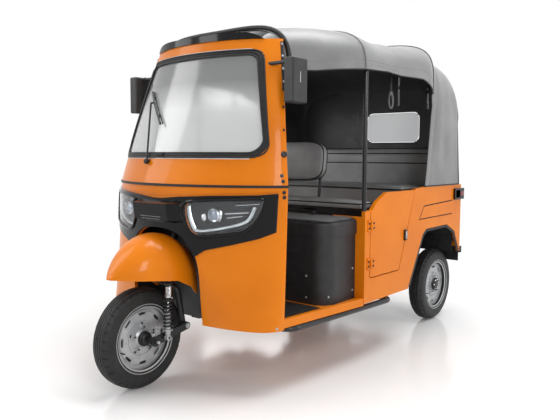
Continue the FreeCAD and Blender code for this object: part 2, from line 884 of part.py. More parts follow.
def top_prism(points, low, high):
    """Outline in the ground plane, pushed upwards."""
    corners = [Vector(x, y, low) for x, y in points]
    face = Part.Face(Part.makePolygon(corners + [corners[0]]))
    return face.extrude(Vector(0, 0, high - low))


def cabin_half(place_y):
    """Half width of the cabin at the sills, growing from the cowl to the body."""
    share = (place_y - read("cowl_rear_bottom")) / (read("body_front") - read("cowl_rear_bottom"))
    share = min(max(share, 0), 1)
    return read("cowl_half_bottom") + share * (read("body_half_width") - read("cowl_half_bottom"))


def make_floor():
    top = read("floor_top")
    low = top - read("floor_thick")
    inset = read("cowl_wall") + 0.3
    start = read("cowl_rear_bottom") + 3
    front = read("body_front")
    finish = read("arch_front") - 0.3
    wall = read("panel_wall") + 0.3
    toe_room = Part.makeBox(1600, 400, top - low, Vector(-800, -1050, low))
    toe = nose_solid(nose_levels(), inset, 0.3).common(toe_room)
    plan = [(cabin_half(start) - wall, start - 1), (cabin_half(front) - wall, front),
            (cabin_half(front) - wall, finish)]
    deck = top_prism(plan + [(-x, y) for x, y in reversed(plan)], low, top)
    well_half = read("well_half") + 0.3
    well = Part.makeBox(2 * well_half, 400, 200,
                        Vector(-well_half, read("well_back") - 400 + 0.3, low - 100))
    inner = 26
    sill_plan = [(cabin_half(start) - 2, start), (cabin_half(front) - 2, front - 0.3),
                 (cabin_half(front) - inner, front - 0.3), (cabin_half(start) - inner, start)]
    sill = top_prism(sill_plan, read("body_bottom") - 10, read("sill_top"))
    slot = Part.makeBox(60.6, 50.6, 60, Vector(-30.3, read("rail_front") - 0.3, low - 20))
    floor = deck.fuse([toe, sill, mirror(sill)]).cut(well).cut(slot)
    feature("floor_pan", floor.removeSplitter())
    mat_front = start + 8
    mat_rear = read("box_front") - 40
    mat_plan = [(cabin_half(mat_front) - 40, mat_front), (cabin_half(mat_rear) - 40, mat_rear)]
    mat = top_prism(mat_plan + [(-x, y) for x, y in reversed(mat_plan)], top, top + read("mat_thick"))
    neck_gap = Part.makeBox(80, 200, 60, Vector(-40, read("rail_front") - 100, top - 20))
    feature("floor_mat", mat.cut(neck_gap))


make_frame()
make_floor()


# Rear body, doors and lid

def door_outline(grow):
    """Half door in the side plane, made larger by a gap all round."""
    front = read("door_front")
    low = read("door_bottom")
    top = read("body_top") - 14
    return [
        (front - grow, low - grow),
        (read("door_rear_low") + grow, low - grow),
        (read("door_rear_high") + grow, top + grow),
        (front + 175, top + grow),
        (front + 70, top - 46 + grow),
        (front - grow, read("door_front_top") - 8 + grow),
    ]


def arch_outline(foot):
    """Wheel opening of the side panel."""
    return [
        (read("arch_front"), foot),
        (read("arch_front"), read("body_bottom")),
        (read("arch_shoulder") - 30, read("arch_top") - 30),
        (read("arch_shoulder") + 20, read("arch_top")),
        (1003, read("arch_top") + 4),
        (read("arch_rear"), read("arch_top") - 52),
        (read("body_rear") + 5, read("rear_bottom")),
        (read("body_rear") + 5, foot),
    ]


def liner_outline(grow, foot):
    """Wheel housing in the side plane, from the floor over the wheel to the rear panel."""
    rear = read("body_rear") - read("panel_wall") - read("seat_gap")
    return [
        (read("arch_front") - grow, foot),
        (read("arch_front") - grow, read("body_bottom")),
        (read("arch_shoulder") - 30 - grow / 2, read("arch_top") - 30 + grow),
        (read("arch_shoulder") + 20, read("arch_top") + grow),
        (1040, read("arch_top") + 4 + grow),
        (rear, read("back_bottom") + 40 + grow),
        (rear, foot),
    ]


def hinge_pair(pin_x, pin_y, heights, length):
    """Fixed pins and moving barrels of a hinge that stands upright on a side panel."""
    pins = []
    barrels = []
    half = read("body_half_width")
    for level in heights:
        pin = Part.makeCylinder(3, length + 20, Vector(pin_x, pin_y, level - length / 2 - 10))
        leaf = Part.makeBox(4, 26, length + 20, Vector(half, pin_y - 31, level - length / 2 - 10))
        for end in (level - length / 2 - 10, level + length / 2 + 0.3):
            arm = Part.makeBox(pin_x - half, 31, 9.7, Vector(half, pin_y - 31, end))
            ear = Part.makeCylinder(6, 9.7, Vector(pin_x, pin_y, end))
            pin = pin.fuse([arm, ear])
        pins.append(pin.fuse(leaf))
        barrel = Part.makeCylinder(6, length, Vector(pin_x, pin_y, level - length / 2))
        bore = Part.makeCylinder(3 + read("running_gap"), length, Vector(pin_x, pin_y, level - length / 2))
        plate = Part.makeBox(pin_x - half, 34, length, Vector(half, pin_y + 1, level - length / 2))
        barrels.append(barrel.fuse(plate).cut(bore))
    return pins, barrels


def panel_grooves(half):
    """Pressed lines behind the door, a groove each."""
    lines = [((1083, 835), (650, 819)), ((650, 819), (592, 739)), ((592, 739), (1080, 744))]
    wide = read("groove_width") / 2
    grooves = []
    for (y_from, z_from), (y_to, z_to) in lines:
        length = math.hypot(y_to - y_from, z_to - z_from)
        along_y = (y_to - y_from) / length * wide
        along_z = (z_to - z_from) / length * wide
        corners = [
            (y_from - along_y - along_z, z_from - along_z + along_y),
            (y_to + along_y - along_z, z_to + along_z + along_y),
            (y_to + along_y + along_z, z_to + along_z - along_y),
            (y_from - along_y + along_z, z_from - along_z - along_y),
        ]
        grooves.append(side_prism(corners, half - read("groove_depth"), half + 5))
    return grooves


def make_body_sides():
    half = read("body_half_width")
    wall = read("panel_wall")
    front = read("body_front")
    top = read("body_top")
    rear = read("body_rear")
    low = read("body_bottom")
    outline = [
        (front, low),
        (front, read("body_front_top")),
        (read("door_front") - read("door_gap"), read("body_front_top")),
        (read("door_front") - read("door_gap"), top - 60),
        (read("door_rear_high"), top - 8),
        (read("rear_bow") - 10, top),
        (rear, top),
        (rear, low),
    ]
    panel = side_prism(outline, half - wall, half)
    gap = read("door_gap")
    corner = read("door_corner")
    door_hole = side_slab(door_outline(gap), corner + gap, half - wall - 5, half + 5)
    above = side_prism([(front + 40, read("body_front_top")), (read("door_rear_high") + gap, top - 14),
                        (read("door_rear_high") + gap, top + 40), (front + 40, top + 40)],
                       half - wall - 5, half + 5)
    arch = side_prism(arch_outline(low - 60), half - wall - 5, half + 5)
    panel = panel.cut([door_hole, above, arch] + panel_grooves(half))
    door = side_slab(door_outline(0), corner, half - wall, half)
    pins, barrels = hinge_pair(half + 8, read("door_front") - 3, (540, 750), 40)
    door = door.fuse(barrels)
    latch = Part.makeBox(12, 26, 60, Vector(half, 386, 632))
    door = door.fuse(latch)
    feature("body_sides", both_sides(panel))
    feature("door_left", door)
    feature("door_right", mirror(door))
    feature("door_hinges", Part.makeCompound(pins + [mirror(pin) for pin in pins]))


def make_arch_liners():
    half = read("body_half_width") - read("panel_wall") - read("seat_gap")
    inner_edge = 440
    low = read("body_bottom")
    wall = read("sheet_wall")
    outer = side_prism(liner_outline(0, low), inner_edge, half)
    inner = side_prism(liner_outline(-wall, low - 20), inner_edge - 5, half + 5)
    rear = read("body_rear") - read("panel_wall") - read("seat_gap")
    low_tail = Part.makeBox(400, 200, read("back_bottom") + 30 - low + 100,
                            Vector(300, rear - 100, low - 100))
    liner = outer.cut(inner).cut(low_tail)
    feature("wheel_arch_liners", both_sides(liner))


def make_back():
    half = read("body_half_width") - read("panel_wall") - read("seat_gap")
    wall = read("panel_wall")
    rear = read("body_rear")
    top = read("body_top")
    low = read("back_bottom")
    panel = Part.makeBox(2 * half, wall, top - low, Vector(-half, rear - wall, low))
    lid_half = read("lid_half")
    gap = read("door_gap")
    lid_height = read("lid_top") - read("lid_bottom")
    hole = Part.makeBox(2 * lid_half + 2 * gap, wall + 20, lid_height + 2 * gap,
                        Vector(-lid_half - gap, rear - wall - 10, read("lid_bottom") - gap))
    shelf = Part.makeBox(2 * half, rear - read("hood_rear") + 10, wall,
                         Vector(-half, read("hood_rear") - 10, top - wall))
    lid = Part.makeBox(2 * lid_half, wall, lid_height, Vector(-lid_half, rear - wall, read("lid_bottom")))
    pin_y = rear + 8
    pin_z = read("lid_top") + 3
    fixed = []
    moving = []
    bores = []
    for centre in (-250, 250):
        along = Vector(1, 0, 0)
        fixed.append(Part.makeCylinder(3, 60, Vector(centre - 30, pin_y, pin_z), along))
        for end in (centre - 30, centre + 20.3):
            fixed.append(Part.makeCylinder(6, 9.7, Vector(end, pin_y, pin_z), along))
            fixed.append(Part.makeBox(9.7, pin_y - rear, 30, Vector(end, rear, pin_z)))
        moving.append(Part.makeCylinder(6, 40, Vector(centre - 20, pin_y, pin_z), along))
        moving.append(Part.makeBox(40, pin_y - rear, 30, Vector(centre - 20, rear, pin_z - 31)))
        bores.append(Part.makeCylinder(3 + read("running_gap"), 40,
                                       Vector(centre - 20, pin_y, pin_z), along))
    bolt_start = Vector(read("plate_hole_pitch") / 2, rear - 40, read("plate_hole_height"))
    bolt = Part.makeCylinder(read("plate_hole_radius"), 80, bolt_start, Vector(0, 1, 0))
    panel = panel.cut([hole, bolt, mirror(bolt)])
    feature("rear_panel", panel.fuse([shelf] + fixed).removeSplitter())
    feature("engine_lid", lid.fuse(moving).cut(bores))


make_body_sides()
make_arch_liners()
make_back()


# Cabin

def make_cabin():
    front = read("body_front")
    wall = read("panel_wall")
    inner = read("body_half_width") - wall - 0.3
    floor = read("floor_top")
    bulk = Part.makeBox(2 * inner, wall, read("bulkhead_top") - floor, Vector(-inner, front + 0.3, floor))
    feature("bulkhead", bulk)
    gap = read("seat_gap")
    depth = front - gap - read("box_front")
    box_half = read("box_half")
    box = Part.makeBox(2 * box_half, depth, read("box_top") - floor,
                       Vector(-box_half, read("box_front"), floor))
    corners = [edge for edge in box.Edges
               if abs(edge.BoundBox.ZLength) > 100 and edge.BoundBox.YMax < read("box_front") + 1]
    box = box.makeFillet(read("box_corner"), corners)
    feature("seat_box", box)
    lid = Part.makeBox(2 * box_half + 16, depth + 8, read("driver_seat_top") - read("box_top"),
                       Vector(-box_half - 8, read("box_front") - 8, read("box_top")))
    corners = [edge for edge in lid.Edges
               if abs(edge.BoundBox.ZLength) > 50 and edge.BoundBox.YMax < read("box_front") + 1]
    lid = lid.makeFillet(read("box_corner") + 8, corners)
    brim = [edge for edge in lid.Edges
            if edge.BoundBox.ZMin > read("driver_seat_top") - 1 and edge.BoundBox.YMin < front - gap - 1]
    feature("seat_box_lid", lid.makeFillet(read("lid_round"), brim))
    pad_low = 818
    post = Part.makeCylinder(12, pad_low - read("driver_seat_top"),
                             Vector(345, -100, read("driver_seat_top")))
    rail = Part.makeBox(900, 30, pad_low - read("bulkhead_top"),
                        Vector(-450, front - 4, read("bulkhead_top")))
    stay_low = Vector(180, front + 20, pad_low - 9)
    foot = Vector(180, 176, pad_low - 9)
    head = Vector(180, 215, 1120)
    stay = bent_tube([stay_low, foot, head], 9)
    frame = rail.fuse([post, mirror(post), stay, mirror(stay)])
    feature("driver_seat_frame", frame)
    pad = Part.makeBox(2 * 590, 270, 62, Vector(-590, -130, pad_low + gap))
    slots = Part.makeBox(30, 60, 200, Vector(165, 140, pad_low - 60))
    feature("driver_cushion", pad.cut([slots, mirror(slots)]))
    thick = 76
    lean = math.degrees(math.atan2(head.y - foot.y, head.z - foot.z))
    back = Part.makeBox(500, thick, read("driver_back_high") - read("driver_back_low"),
                        Vector(-250, -thick - 9 - gap, read("driver_back_low") - foot.z))
    back.Placement = Placement(Vector(0, foot.y, foot.z), Rotation(Vector(1, 0, 0), -lean))
    feature("driver_backrest", back)


def make_bench():
    wall = read("panel_wall")
    inner = read("body_half_width") - wall - 0.3
    floor = read("floor_top")
    front = read("bench_front")
    top = read("bench_base_top")
    face = Part.makeBox(2 * inner, wall, top - floor, Vector(-inner, front, floor))
    housing = side_prism(liner_outline(read("seat_gap") + 0.4, 0), 430, 700)
    face = face.cut([housing, mirror(housing)])
    deck = Part.makeBox(2 * inner, read("bench_rear") - front, wall, Vector(-inner, front, top - wall))
    foot = Part.makeBox(2 * 250, wall, floor - read("rail_bottom") - read("rail_height"),
                        Vector(-250, front, read("rail_bottom") + read("rail_height")))
    feature("bench_base", face.fuse([deck, foot]).removeSplitter())
    pad_half = 600
    pad = Part.makeBox(2 * pad_half, read("bench_rear") - 130 - front, read("bench_top") - top,
                       Vector(-pad_half, front - 20, top + 0.3))
    feature("passenger_cushion", pad)
    thick = read("backrest_thick")
    back = Part.makeBox(2 * pad_half, thick, read("backrest_high") - top,
                        Vector(-pad_half, read("bench_rear") - thick, top + 0.3))
    feature("passenger_backrest", back)


make_cabin()
make_bench()


# Canopy

def roof_stations(inset):
    """Roof from the windscreen to the rear bow: place, half width, crown, roundness."""
    half = canopy_half()
    front_half = read("header_half") + 6
    spring = read("canopy_spring")
    crown = read("roof_crown")
    stations = [
        (read("header_nose") - 20, front_half, crown - 88, 6.0),
        (read("header_rear") - 4, front_half, crown - 46, 4.6),
        (-400, half - 108, crown - 18, 4.3),
        (read("post_place"), half, crown - 2, 5.0),
        (300, half + 4, crown - 14, 5.0),
        (read("rear_bow"), bow_half(), crown + 14, 5.5),
    ]
    return [arch_section(y, w - inset, spring - 150, spring, c - inset, p) for y, w, c, p in stations]


def hood_stations(inset):
    """Rear hood: place, half width, spring line, crown, roundness."""
    half = bow_half()
    crown = read("roof_crown")
    rear = read("hood_rear")
    spring = read("canopy_spring")
    low = read("body_top") + read("seat_gap")
    foot_half = read("body_half_width") + 6 - inset
    stations = [
        (read("rear_bow"), half, spring, crown + 14, 5.5),
        (read("rear_bow") + 155, half - 3, spring - 10, crown - 10, 3.7),
        (rear - 165, half - 28, spring - 30, crown - 68, 4.2),
        (rear - 65, half - 41, spring - 50, crown - 126, 4.0),
        (rear, half - 61, spring - 90, crown - 206, 4.0),
    ]
    wires = []
    for place_y, w, s, c, p in stations:
        shift = inset if place_y == rear else 0
        wires.append(arch_section(place_y - shift, w - inset, low, s, c - inset, p, foot_half))
    return wires


def lower_edge():
    """Outline in the side plane of what is cut away under the roof, with the flap at the front corner."""
    front = read("header_rear") - 4
    bow = read("rear_bow")
    edge = read("roof_edge")
    flap = read("corner_flap_low")
    return [
        (front - 400, 1200), (front - 400, flap), (front, flap), (front + read("corner_flap"), flap - 20),
        (front + read("corner_flap") + 20, edge - 34), (-400, edge - 34), (-92, edge), (139, edge + 11),
        (462, edge - 4), (bow + 1, edge - 70), (bow + 1, 1200),
    ]


def make_canopy():
    wall = read("canopy_wall")
    front = read("header_rear") - 4
    bow = read("rear_bow")
    above = read("roof_crown") + 100
    outer = Part.makeLoft(roof_stations(0), True, False)
    skin = outer.cut(Part.makeLoft(roof_stations(wall), True, False))
    reach = 2 * bow_half() + 100
    behind = Part.makeBox(reach, bow - front + 10, above, Vector(-reach / 2, front, 0))
    roof = skin.common(behind).cut(side_prism(lower_edge(), -reach / 2, reach / 2))
    roof = roof.cut(nose_solid(screen_levels(), -2, 0))
    feature("canopy_roof", roof)
    feature("roof_header", make_header(outer, skin, front))
    hood = Part.makeLoft(hood_stations(0), True, False).cut(Part.makeLoft(hood_stations(wall), True, False))
    half = read("window_half")
    middle = read("window_place")
    corners = [(middle + half, read("window_low")), (middle + half, read("window_high")),
               (middle - half, read("window_high")), (middle - half, read("window_low"))]
    rear = read("hood_rear")
    window = front_prism(rounded_wire(corners, 50), rear - 200, rear + 100)
    feature("canopy_hood", hood.cut(window))
    pane = front_prism(rounded_wire(corners, 50), rear - 7, rear - 3)
    feature("rear_window", pane)
    return roof


def make_header(outer, skin, rear):
    """Black cap over the windscreen: a rim on the surround and a sloping top up to the fabric."""
    level = read("header_height") + read("seat_gap")
    crown = read("roof_crown") + 50
    half = read("header_half")
    nose = read("header_nose")
    plan = plan_wire(level, half + 6, rear + 1, nose - 6, SCREEN, rear - read("seat_gap"))
    inner = plan_wire(level, half - 34, rear + 1, nose + 34, SCREEN, rear + 40)
    block = Part.Face(plan).extrude(Vector(0, 0, crown - level))
    room = Part.Face(inner).extrude(Vector(0, 0, crown - level))
    rim = block.cut(room).common(outer)
    return skin.common(block).fuse(rim).removeSplitter()


def bow(place_y, half, crown, foot):
    """Round bar that follows the roof's section from foot to foot."""
    inset = read("canopy_wall") + read("bow_radius") + 2
    spring = read("canopy_spring")
    outline = arch_section(place_y, half - inset, foot, spring, crown - inset, 5.0)
    path = Part.Wire(outline.Edges[:3])
    start = Vector(half - inset, place_y, foot)
    circle = Part.Wire([Part.makeCircle(read("bow_radius"), start, Vector(0, 0, 1))])
    return path.makePipeShell([circle], True, True)


def make_roof_frame(roof):
    """Door posts and the bows that carry the fabric: over the posts, in the middle and at the hood."""
    crown = read("roof_crown")
    half = canopy_half()
    place_y = read("body_front") + 14
    foot = Vector(half - read("canopy_wall") - read("post_radius") - 2, place_y,
                  read("body_front_top") + read("seat_gap"))
    post = Part.makeCylinder(read("post_radius"), read("post_top") - foot.z, foot)
    reach = 2 * bow_half()
    upper = Part.makeBox(reach, 200, 600, Vector(-reach / 2, place_y - 100, read("post_top") + 1))
    bows = [
        bow(place_y, half, crown - 2, 1400).common(upper),
        bow(300, half + 4, crown - 14, 1420),
        bow(read("rear_bow") - 20, bow_half() - 3, crown + 10, 1420),
    ]
    bars = [item.cut(roof) for item in [post, mirror(post)] + bows]
    feature("roof_frame", Part.makeCompound(bars))


make_roof_frame(make_canopy())



# Running gear, lamps, mirrors and trim

def make_rear_axle():
    axle_y = read("wheelbase") / 2
    centre_z = read("tyre_radius")
    wheel_x = read("rear_track") / 2
    pivot = Vector(380, 590, 300)
    end = Vector(wheel_x - 85, axle_y, centre_z)
    arm = bent_tube([pivot, Vector(400, 760, 275), end], 20)
    shaft = Part.makeCylinder(read("axle_radius"), 85 + 30, end, Vector(1, 0, 0))
    boss = Part.makeCylinder(30, 30, end - Vector(15, 0, 0), Vector(1, 0, 0))
    reach = pivot.x - read("rail_offset") - read("rail_width") / 2 - read("seat_gap")
    bush = Part.makeCylinder(26, reach + 26, pivot - Vector(reach, 0, 0), Vector(1, 0, 0))
    solid = arm.fuse([shaft, boss, bush]).removeSplitter()
    feature("rear_swing_arms", both_sides(solid))


def make_engine():
    box = doc.addObject("Part::Box", "engine_block")
    bind(box, "Length", "sizes.engine_width")
    bind(box, "Width", "sizes.engine_length")
    bind(box, "Height", "sizes.engine_height")
    place(box, "-sizes.engine_width / 2", "745", "sizes.rail_bottom + sizes.rail_height - 5")
    keep(box, "engine_block")


def make_trim():
    half = read("body_half_width")
    rear = read("body_rear")
    top = read("body_top")
    lamp = Part.makeBox(14, 150, 76, Vector(half, 1100, 838))
    lamp = lamp.fuse(Part.makeBox(70, 14, 76, Vector(half - 56, rear, 838)))
    feature("tail_lamps", both_sides(lamp))
    hanger = Part.makeBox(165, 44, 8, Vector(470, rear, 508))
    hanger = hanger.cut(Part.makeBox(165, 39, 4, Vector(470, rear, 508)))
    flap = Part.makeBox(165, 5, 120, Vector(470, rear + 39, 392))
    feature("mud_flaps", both_sides(flap.fuse(hanger)))
    bar = Part.makeBox(1290, 30, 45, Vector(-645, rear + 45, 450))
    rail_top = read("rail_bottom") + read("rail_height") + read("seat_gap")
    arm = Part.makeBox(40, 200, 40, Vector(260, rear - 155, rail_top))
    riser = Part.makeBox(40, 12, 495 - rail_top, Vector(260, rear + 33, rail_top))
    arm = arm.fuse(riser)
    feature("rear_bumper", bar.fuse([arm, mirror(arm)]))
    radius = read("tube_radius")
    root = read("rail_offset") + read("rail_width") / 2 + read("seat_gap")
    level = read("body_bottom") - 12 - radius
    front = read("tube_front")
    back = read("tube_rear")
    tube = bent_tube([
        Vector(root, front, level), Vector(half - 60, front, level), Vector(half - 2, back, level),
        Vector(root, back, level),
    ], radius, 4)
    feature("running_tubes", both_sides(tube))
    head = Part.makeBox(60, 110, 210, Vector(565, -655, 1375))
    head = head.makeFillet(9, head.Edges)
    skin = nose_solid(screen_levels(), -read("seat_gap"), 60)
    stalk = tube_between(Vector(430, -596, 1573), Vector(610, -596, 1573), 9)
    left = head.fuse(stalk).cut(skin)
    right = mirror(left)
    right.translate(Vector(0, 40, 0))
    feature("mirrors", Part.makeCompound([left, right.cut(skin)]))
    pivot = screen_point(-140, 1098, 22)
    spindle = tube_between(pivot + Vector(0, 60, 0), pivot, 9)
    tip = screen_point(-240, 1405, 26)
    arm = tube_between(pivot + Vector(0, 6, 0), tip, 5)
    stops = [screen_point(x, z, 9) for x, z in ((-290, 1470), (-230, 1410), (-170, 1350), (-110, 1290))]
    runs = [tube_between(start, finish, 6) for start, finish in zip(stops, stops[1:])]
    link = tube_between(tip, screen_point(-230, 1410, 9), 5)
    feature("wiper", spindle.fuse([arm, link] + runs).cut(skin))
    dash = Part.makeBox(900, 170, 36, Vector(-450, -930, 938))
    dash = dash.common(nose_solid(nose_levels(), read("cowl_wall") + 0.3, 100))
    lamps = lamp_room()
    feature("dashboard", dash.cut([lamps, mirror(lamps)]))


make_rear_axle()
make_engine()
make_trim()

# Checks and files

doc.recompute()
for item in doc.Objects:
    if "Invalid" in item.State or "Error" in item.State:
        raise RuntimeError("%s could not be built" % item.Label)
for node in NODES:
    if node.Shape.isNull() or not node.Shape.isValid():
        raise RuntimeError("%s is not a sound solid" % node.Label)

os.makedirs("parts", exist_ok=True)
for node in NODES:
    node.Shape.exportStep("parts/%s.step" % node.Label)
    bounds = node.Shape.BoundBox
    print(node.Label, len(node.Shape.Solids), round(node.Shape.Volume / 1000),
          [round(v) for v in (bounds.XMin, bounds.YMin, bounds.ZMin, bounds.XMax, bounds.YMax, bounds.ZMax)])
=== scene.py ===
import json
import math

import bpy
import bmesh
import numpy as np
from mathutils import Matrix, Vector, noise
from mathutils.bvhtree import BVHTree


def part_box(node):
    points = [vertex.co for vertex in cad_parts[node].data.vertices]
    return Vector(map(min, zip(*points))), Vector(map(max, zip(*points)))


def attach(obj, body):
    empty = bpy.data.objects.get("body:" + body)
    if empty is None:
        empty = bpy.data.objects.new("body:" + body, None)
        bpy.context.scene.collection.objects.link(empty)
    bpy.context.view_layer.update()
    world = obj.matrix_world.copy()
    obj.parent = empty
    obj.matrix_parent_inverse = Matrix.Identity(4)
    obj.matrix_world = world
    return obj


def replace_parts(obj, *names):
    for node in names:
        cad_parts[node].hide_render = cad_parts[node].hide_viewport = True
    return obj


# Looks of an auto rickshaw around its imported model.
# Metres. The nose points to -Y, the vehicle's left is +X and the ground is z = 0.

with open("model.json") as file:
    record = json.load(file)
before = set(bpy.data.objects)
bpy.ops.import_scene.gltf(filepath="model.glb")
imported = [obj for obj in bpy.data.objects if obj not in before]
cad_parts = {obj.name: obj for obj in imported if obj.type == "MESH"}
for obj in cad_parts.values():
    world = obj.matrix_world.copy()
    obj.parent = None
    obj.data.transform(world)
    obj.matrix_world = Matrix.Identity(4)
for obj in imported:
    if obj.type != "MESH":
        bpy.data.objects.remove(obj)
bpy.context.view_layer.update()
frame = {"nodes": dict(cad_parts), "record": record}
nodes = frame["nodes"]

# Camera and stage

CAMERA_PLACE = (2.374, -2.925, 1.124)
CAMERA_YAW, CAMERA_DIP, CAMERA_ROLL = 38.804, 4.935, 0.279
CAMERA_LENS, SENSOR_WIDTH = 39.6, 36
WHITE = (1, 1, 1, 1)
WORLD_LIGHT = 0.3
FLOOR_RADIUS = 14
FLOOR_FADE = (1.9, 3.4)
# Name, place, aim, size and power of each area light.
LAMPS = [
    ("key", (4.6, -3.2, 3.0), (0, 0, 0.8), (1.4, 2.6), 110),
    ("front", (-2.6, -5.0, 2.6), (0, -0.5, 0.8), (1.6, 2.2), 60),
    ("screen", (-3.05, -2.45, 3.4), (0, -0.8, 1.3), (1.5, 3.0), 45),
    ("side", (5.0, 2.6, 2.4), (0, 0.4, 0.8), (1.0, 2.4), 55),
    ("top", (0.6, 0.4, 4.6), (0, 0.1, 0), (2.2, 3.6), 230),
    ("back", (-3.6, 4.6, 3.0), (0, 0.5, 0.9), (2.6, 2.2), 90),
]


def new_object(name, data):
    made = bpy.data.objects.new(name, data)
    bpy.context.scene.collection.objects.link(made)
    return made


def make_camera():
    data = bpy.data.cameras.new("camera")
    data.lens, data.sensor_width = CAMERA_LENS, SENSOR_WIDTH
    turn, tip, roll = (Matrix.Rotation(math.radians(angle), 4, axis) for angle, axis in (
        (CAMERA_YAW, "Z"), (90 - CAMERA_DIP, "X"), (CAMERA_ROLL, "Z")))
    eye = new_object("camera", data)
    eye.matrix_world = Matrix.Translation(CAMERA_PLACE) @ turn @ tip @ roll
    bpy.context.scene.camera = eye


def shader_node(tree, kind, inputs=None, **settings):
    """New shader node; an input is a value or the output that feeds it."""
    made = tree.nodes.new("ShaderNode" + kind)
    for name, value in settings.items():
        setattr(made, name, value)
    for key, value in (inputs or {}).items():
        if isinstance(value, bpy.types.NodeSocket):
            tree.links.new(value, made.inputs[key])
        else:
            made.inputs[key].default_value = value
    return made


def highest(tree, outputs):
    total = outputs[0]
    for other in outputs[1:]:
        total = shader_node(tree, "Math", {0: total, 1: other}, operation="MAXIMUM").outputs[0]
    return total


def show_rays(tree):
    """One for rays from the camera, from gloss and through glass, else nought."""
    path = shader_node(tree, "LightPath")
    return highest(tree, [path.outputs[ray] for ray in ("Is Camera Ray", "Is Glossy Ray", "Is Transmission Ray")])


def make_world():
    """Soft light all round, seen as plain white."""
    world = bpy.data.worlds.new("studio")
    bpy.context.scene.world = world
    world.use_nodes = True
    tree = world.node_tree
    plain = tree.nodes["Background"]
    plain.inputs["Color"].default_value = WHITE
    plain.inputs["Strength"].default_value = WORLD_LIGHT
    shown = shader_node(tree, "Background", {"Color": WHITE, "Strength": 1})
    mix = shader_node(tree, "MixShader", {0: show_rays(tree), 1: plain.outputs[0], 2: shown.outputs[0]})
    tree.links.new(mix.outputs[0], tree.nodes["World Output"].inputs["Surface"])


def make_floor():
    """Glossy white floor that fades into the white background."""
    mesh = bpy.data.meshes.new("studio_floor")
    shape = bmesh.new()
    bmesh.ops.create_circle(shape, cap_ends=True, segments=96, radius=FLOOR_RADIUS)
    shape.to_mesh(mesh)
    shape.free()
    made = material("floor_white", (0.86, 0.86, 0.86), 0.16)
    tree = made.node_tree
    place = shader_node(tree, "TexCoord")
    away = shader_node(tree, "VectorMath", {0: place.outputs["Object"]}, operation="LENGTH")
    fade = shader_node(tree, "MapRange", {"Value": away.outputs["Value"], "From Min": FLOOR_FADE[0],
                                          "From Max": FLOOR_FADE[1], "To Min": 0.05, "To Max": 1})
    seen = shader_node(tree, "Math", {0: fade.outputs[0], 1: show_rays(tree)}, operation="MULTIPLY")
    mix = shader_node(tree, "MixShader", {0: seen.outputs[0], 1: tree.nodes["Principled BSDF"].outputs[0],
                                          2: shader_node(tree, "Emission").outputs[0]})
    tree.links.new(mix.outputs[0], tree.nodes["Material Output"].inputs["Surface"])
    mesh.materials.append(made)
    new_object("studio_floor", mesh)


def make_lamps_of_stage():
    for name, place, aim, size, power in LAMPS:
        data = bpy.data.lights.new(name, "AREA")
        data.shape = "RECTANGLE"
        data.size, data.size_y = size
        data.energy = power
        lamp = new_object(name, data)
        lamp.location = place
        lamp.rotation_euler = (Vector(aim) - Vector(place)).to_track_quat("-Z", "Y").to_euler()


# Materials

def material(name, colour, roughness, **sockets):
    """Principled material; a constant stands on the shader's own socket."""
    made = bpy.data.materials.new(name)
    made.use_nodes = True
    shader = made.node_tree.nodes["Principled BSDF"]
    for socket, value in {"Base Color": (*colour, 1), "Roughness": roughness, **sockets}.items():
        shader.inputs[socket.replace("_", " ")].default_value = value
    return made


def lead(made, socket, output):
    made.node_tree.links.new(output, made.node_tree.nodes["Principled BSDF"].inputs[socket])


def object_place(made):
    return shader_node(made.node_tree, "TexCoord").outputs["Object"]


def texture(made, kind, scale):
    """Noise or cells in object space; returns its output."""
    return shader_node(made.node_tree, "Tex" + kind, {"Vector": object_place(made), "Scale": scale,
                                                      "Detail": 3}).outputs[0]


def tint(made, source, dark, light, low=0.35, high=0.65):
    """Colour between two shades, led by a pattern."""
    ramp = shader_node(made.node_tree, "ValToRGB", {0: source})
    for stop, place, colour in zip(ramp.color_ramp.elements, (low, high), (dark, light)):
        stop.position = place
        stop.color = (*colour, 1)
    lead(made, "Base Color", ramp.outputs[0])


def roughen(made, source, low, high):
    span = shader_node(made.node_tree, "MapRange", {"Value": source, "To Min": low, "To Max": high})
    lead(made, "Roughness", span.outputs[0])


def emboss(made, source, depth, strength=1.0):
    """Bump from a pattern; several calls stack up."""
    bump = shader_node(made.node_tree, "Bump", {"Distance": depth, "Strength": strength, "Height": source})
    normal = made.node_tree.nodes["Principled BSDF"].inputs["Normal"]
    if normal.is_linked:
        made.node_tree.links.new(normal.links[0].from_socket, bump.inputs["Normal"])
    lead(made, "Normal", bump.outputs[0])


def weave(made, pitch, depth):
    """Plain weave: threads across and along, in object space."""
    place = object_place(made)
    waves = [shader_node(made.node_tree, "TexWave", {"Scale": 1 / (pitch * 6.283), "Distortion": 0.6, "Vector": place},
                         bands_direction=direction).outputs["Fac"] for direction in ("X", "Y", "Z")]
    emboss(made, highest(made.node_tree, waves), depth)


def finish(name, colour, roughness, shades=None, gloss=None, bumps=(), **sockets):
    """Material with patterns: shades (scale, dark, light), gloss (scale, low, high) and bumps (kind, scale, depth)."""
    made = material(name, colour, roughness, **sockets)
    if shades:
        tint(made, texture(made, "Noise", shades[0]), *shades[1:])
    if gloss:
        roughen(made, texture(made, "Noise", gloss[0]), *gloss[1:])
    for kind, scale, *relief in bumps:
        emboss(made, texture(made, kind, scale), *relief)
    return made


def rubber(name, grey, roughness):
    return finish(name, (grey,) * 3, roughness, (25, (grey,) * 3, (grey * 1.5,) * 3),
                  bumps=[("Noise", 900, 0.0001)], Specular_IOR_Level=0.25)


def canopy_fabric(name, dark, light):
    made = finish(name, light, 0.42, (5, dark, light), (30, 0.34, 0.48), [("Noise", 9, 0.004, 0.35)],
                  Sheen_Weight=0.1, Sheen_Roughness=0.5)
    weave(made, 0.0018, 0.0003)
    return made


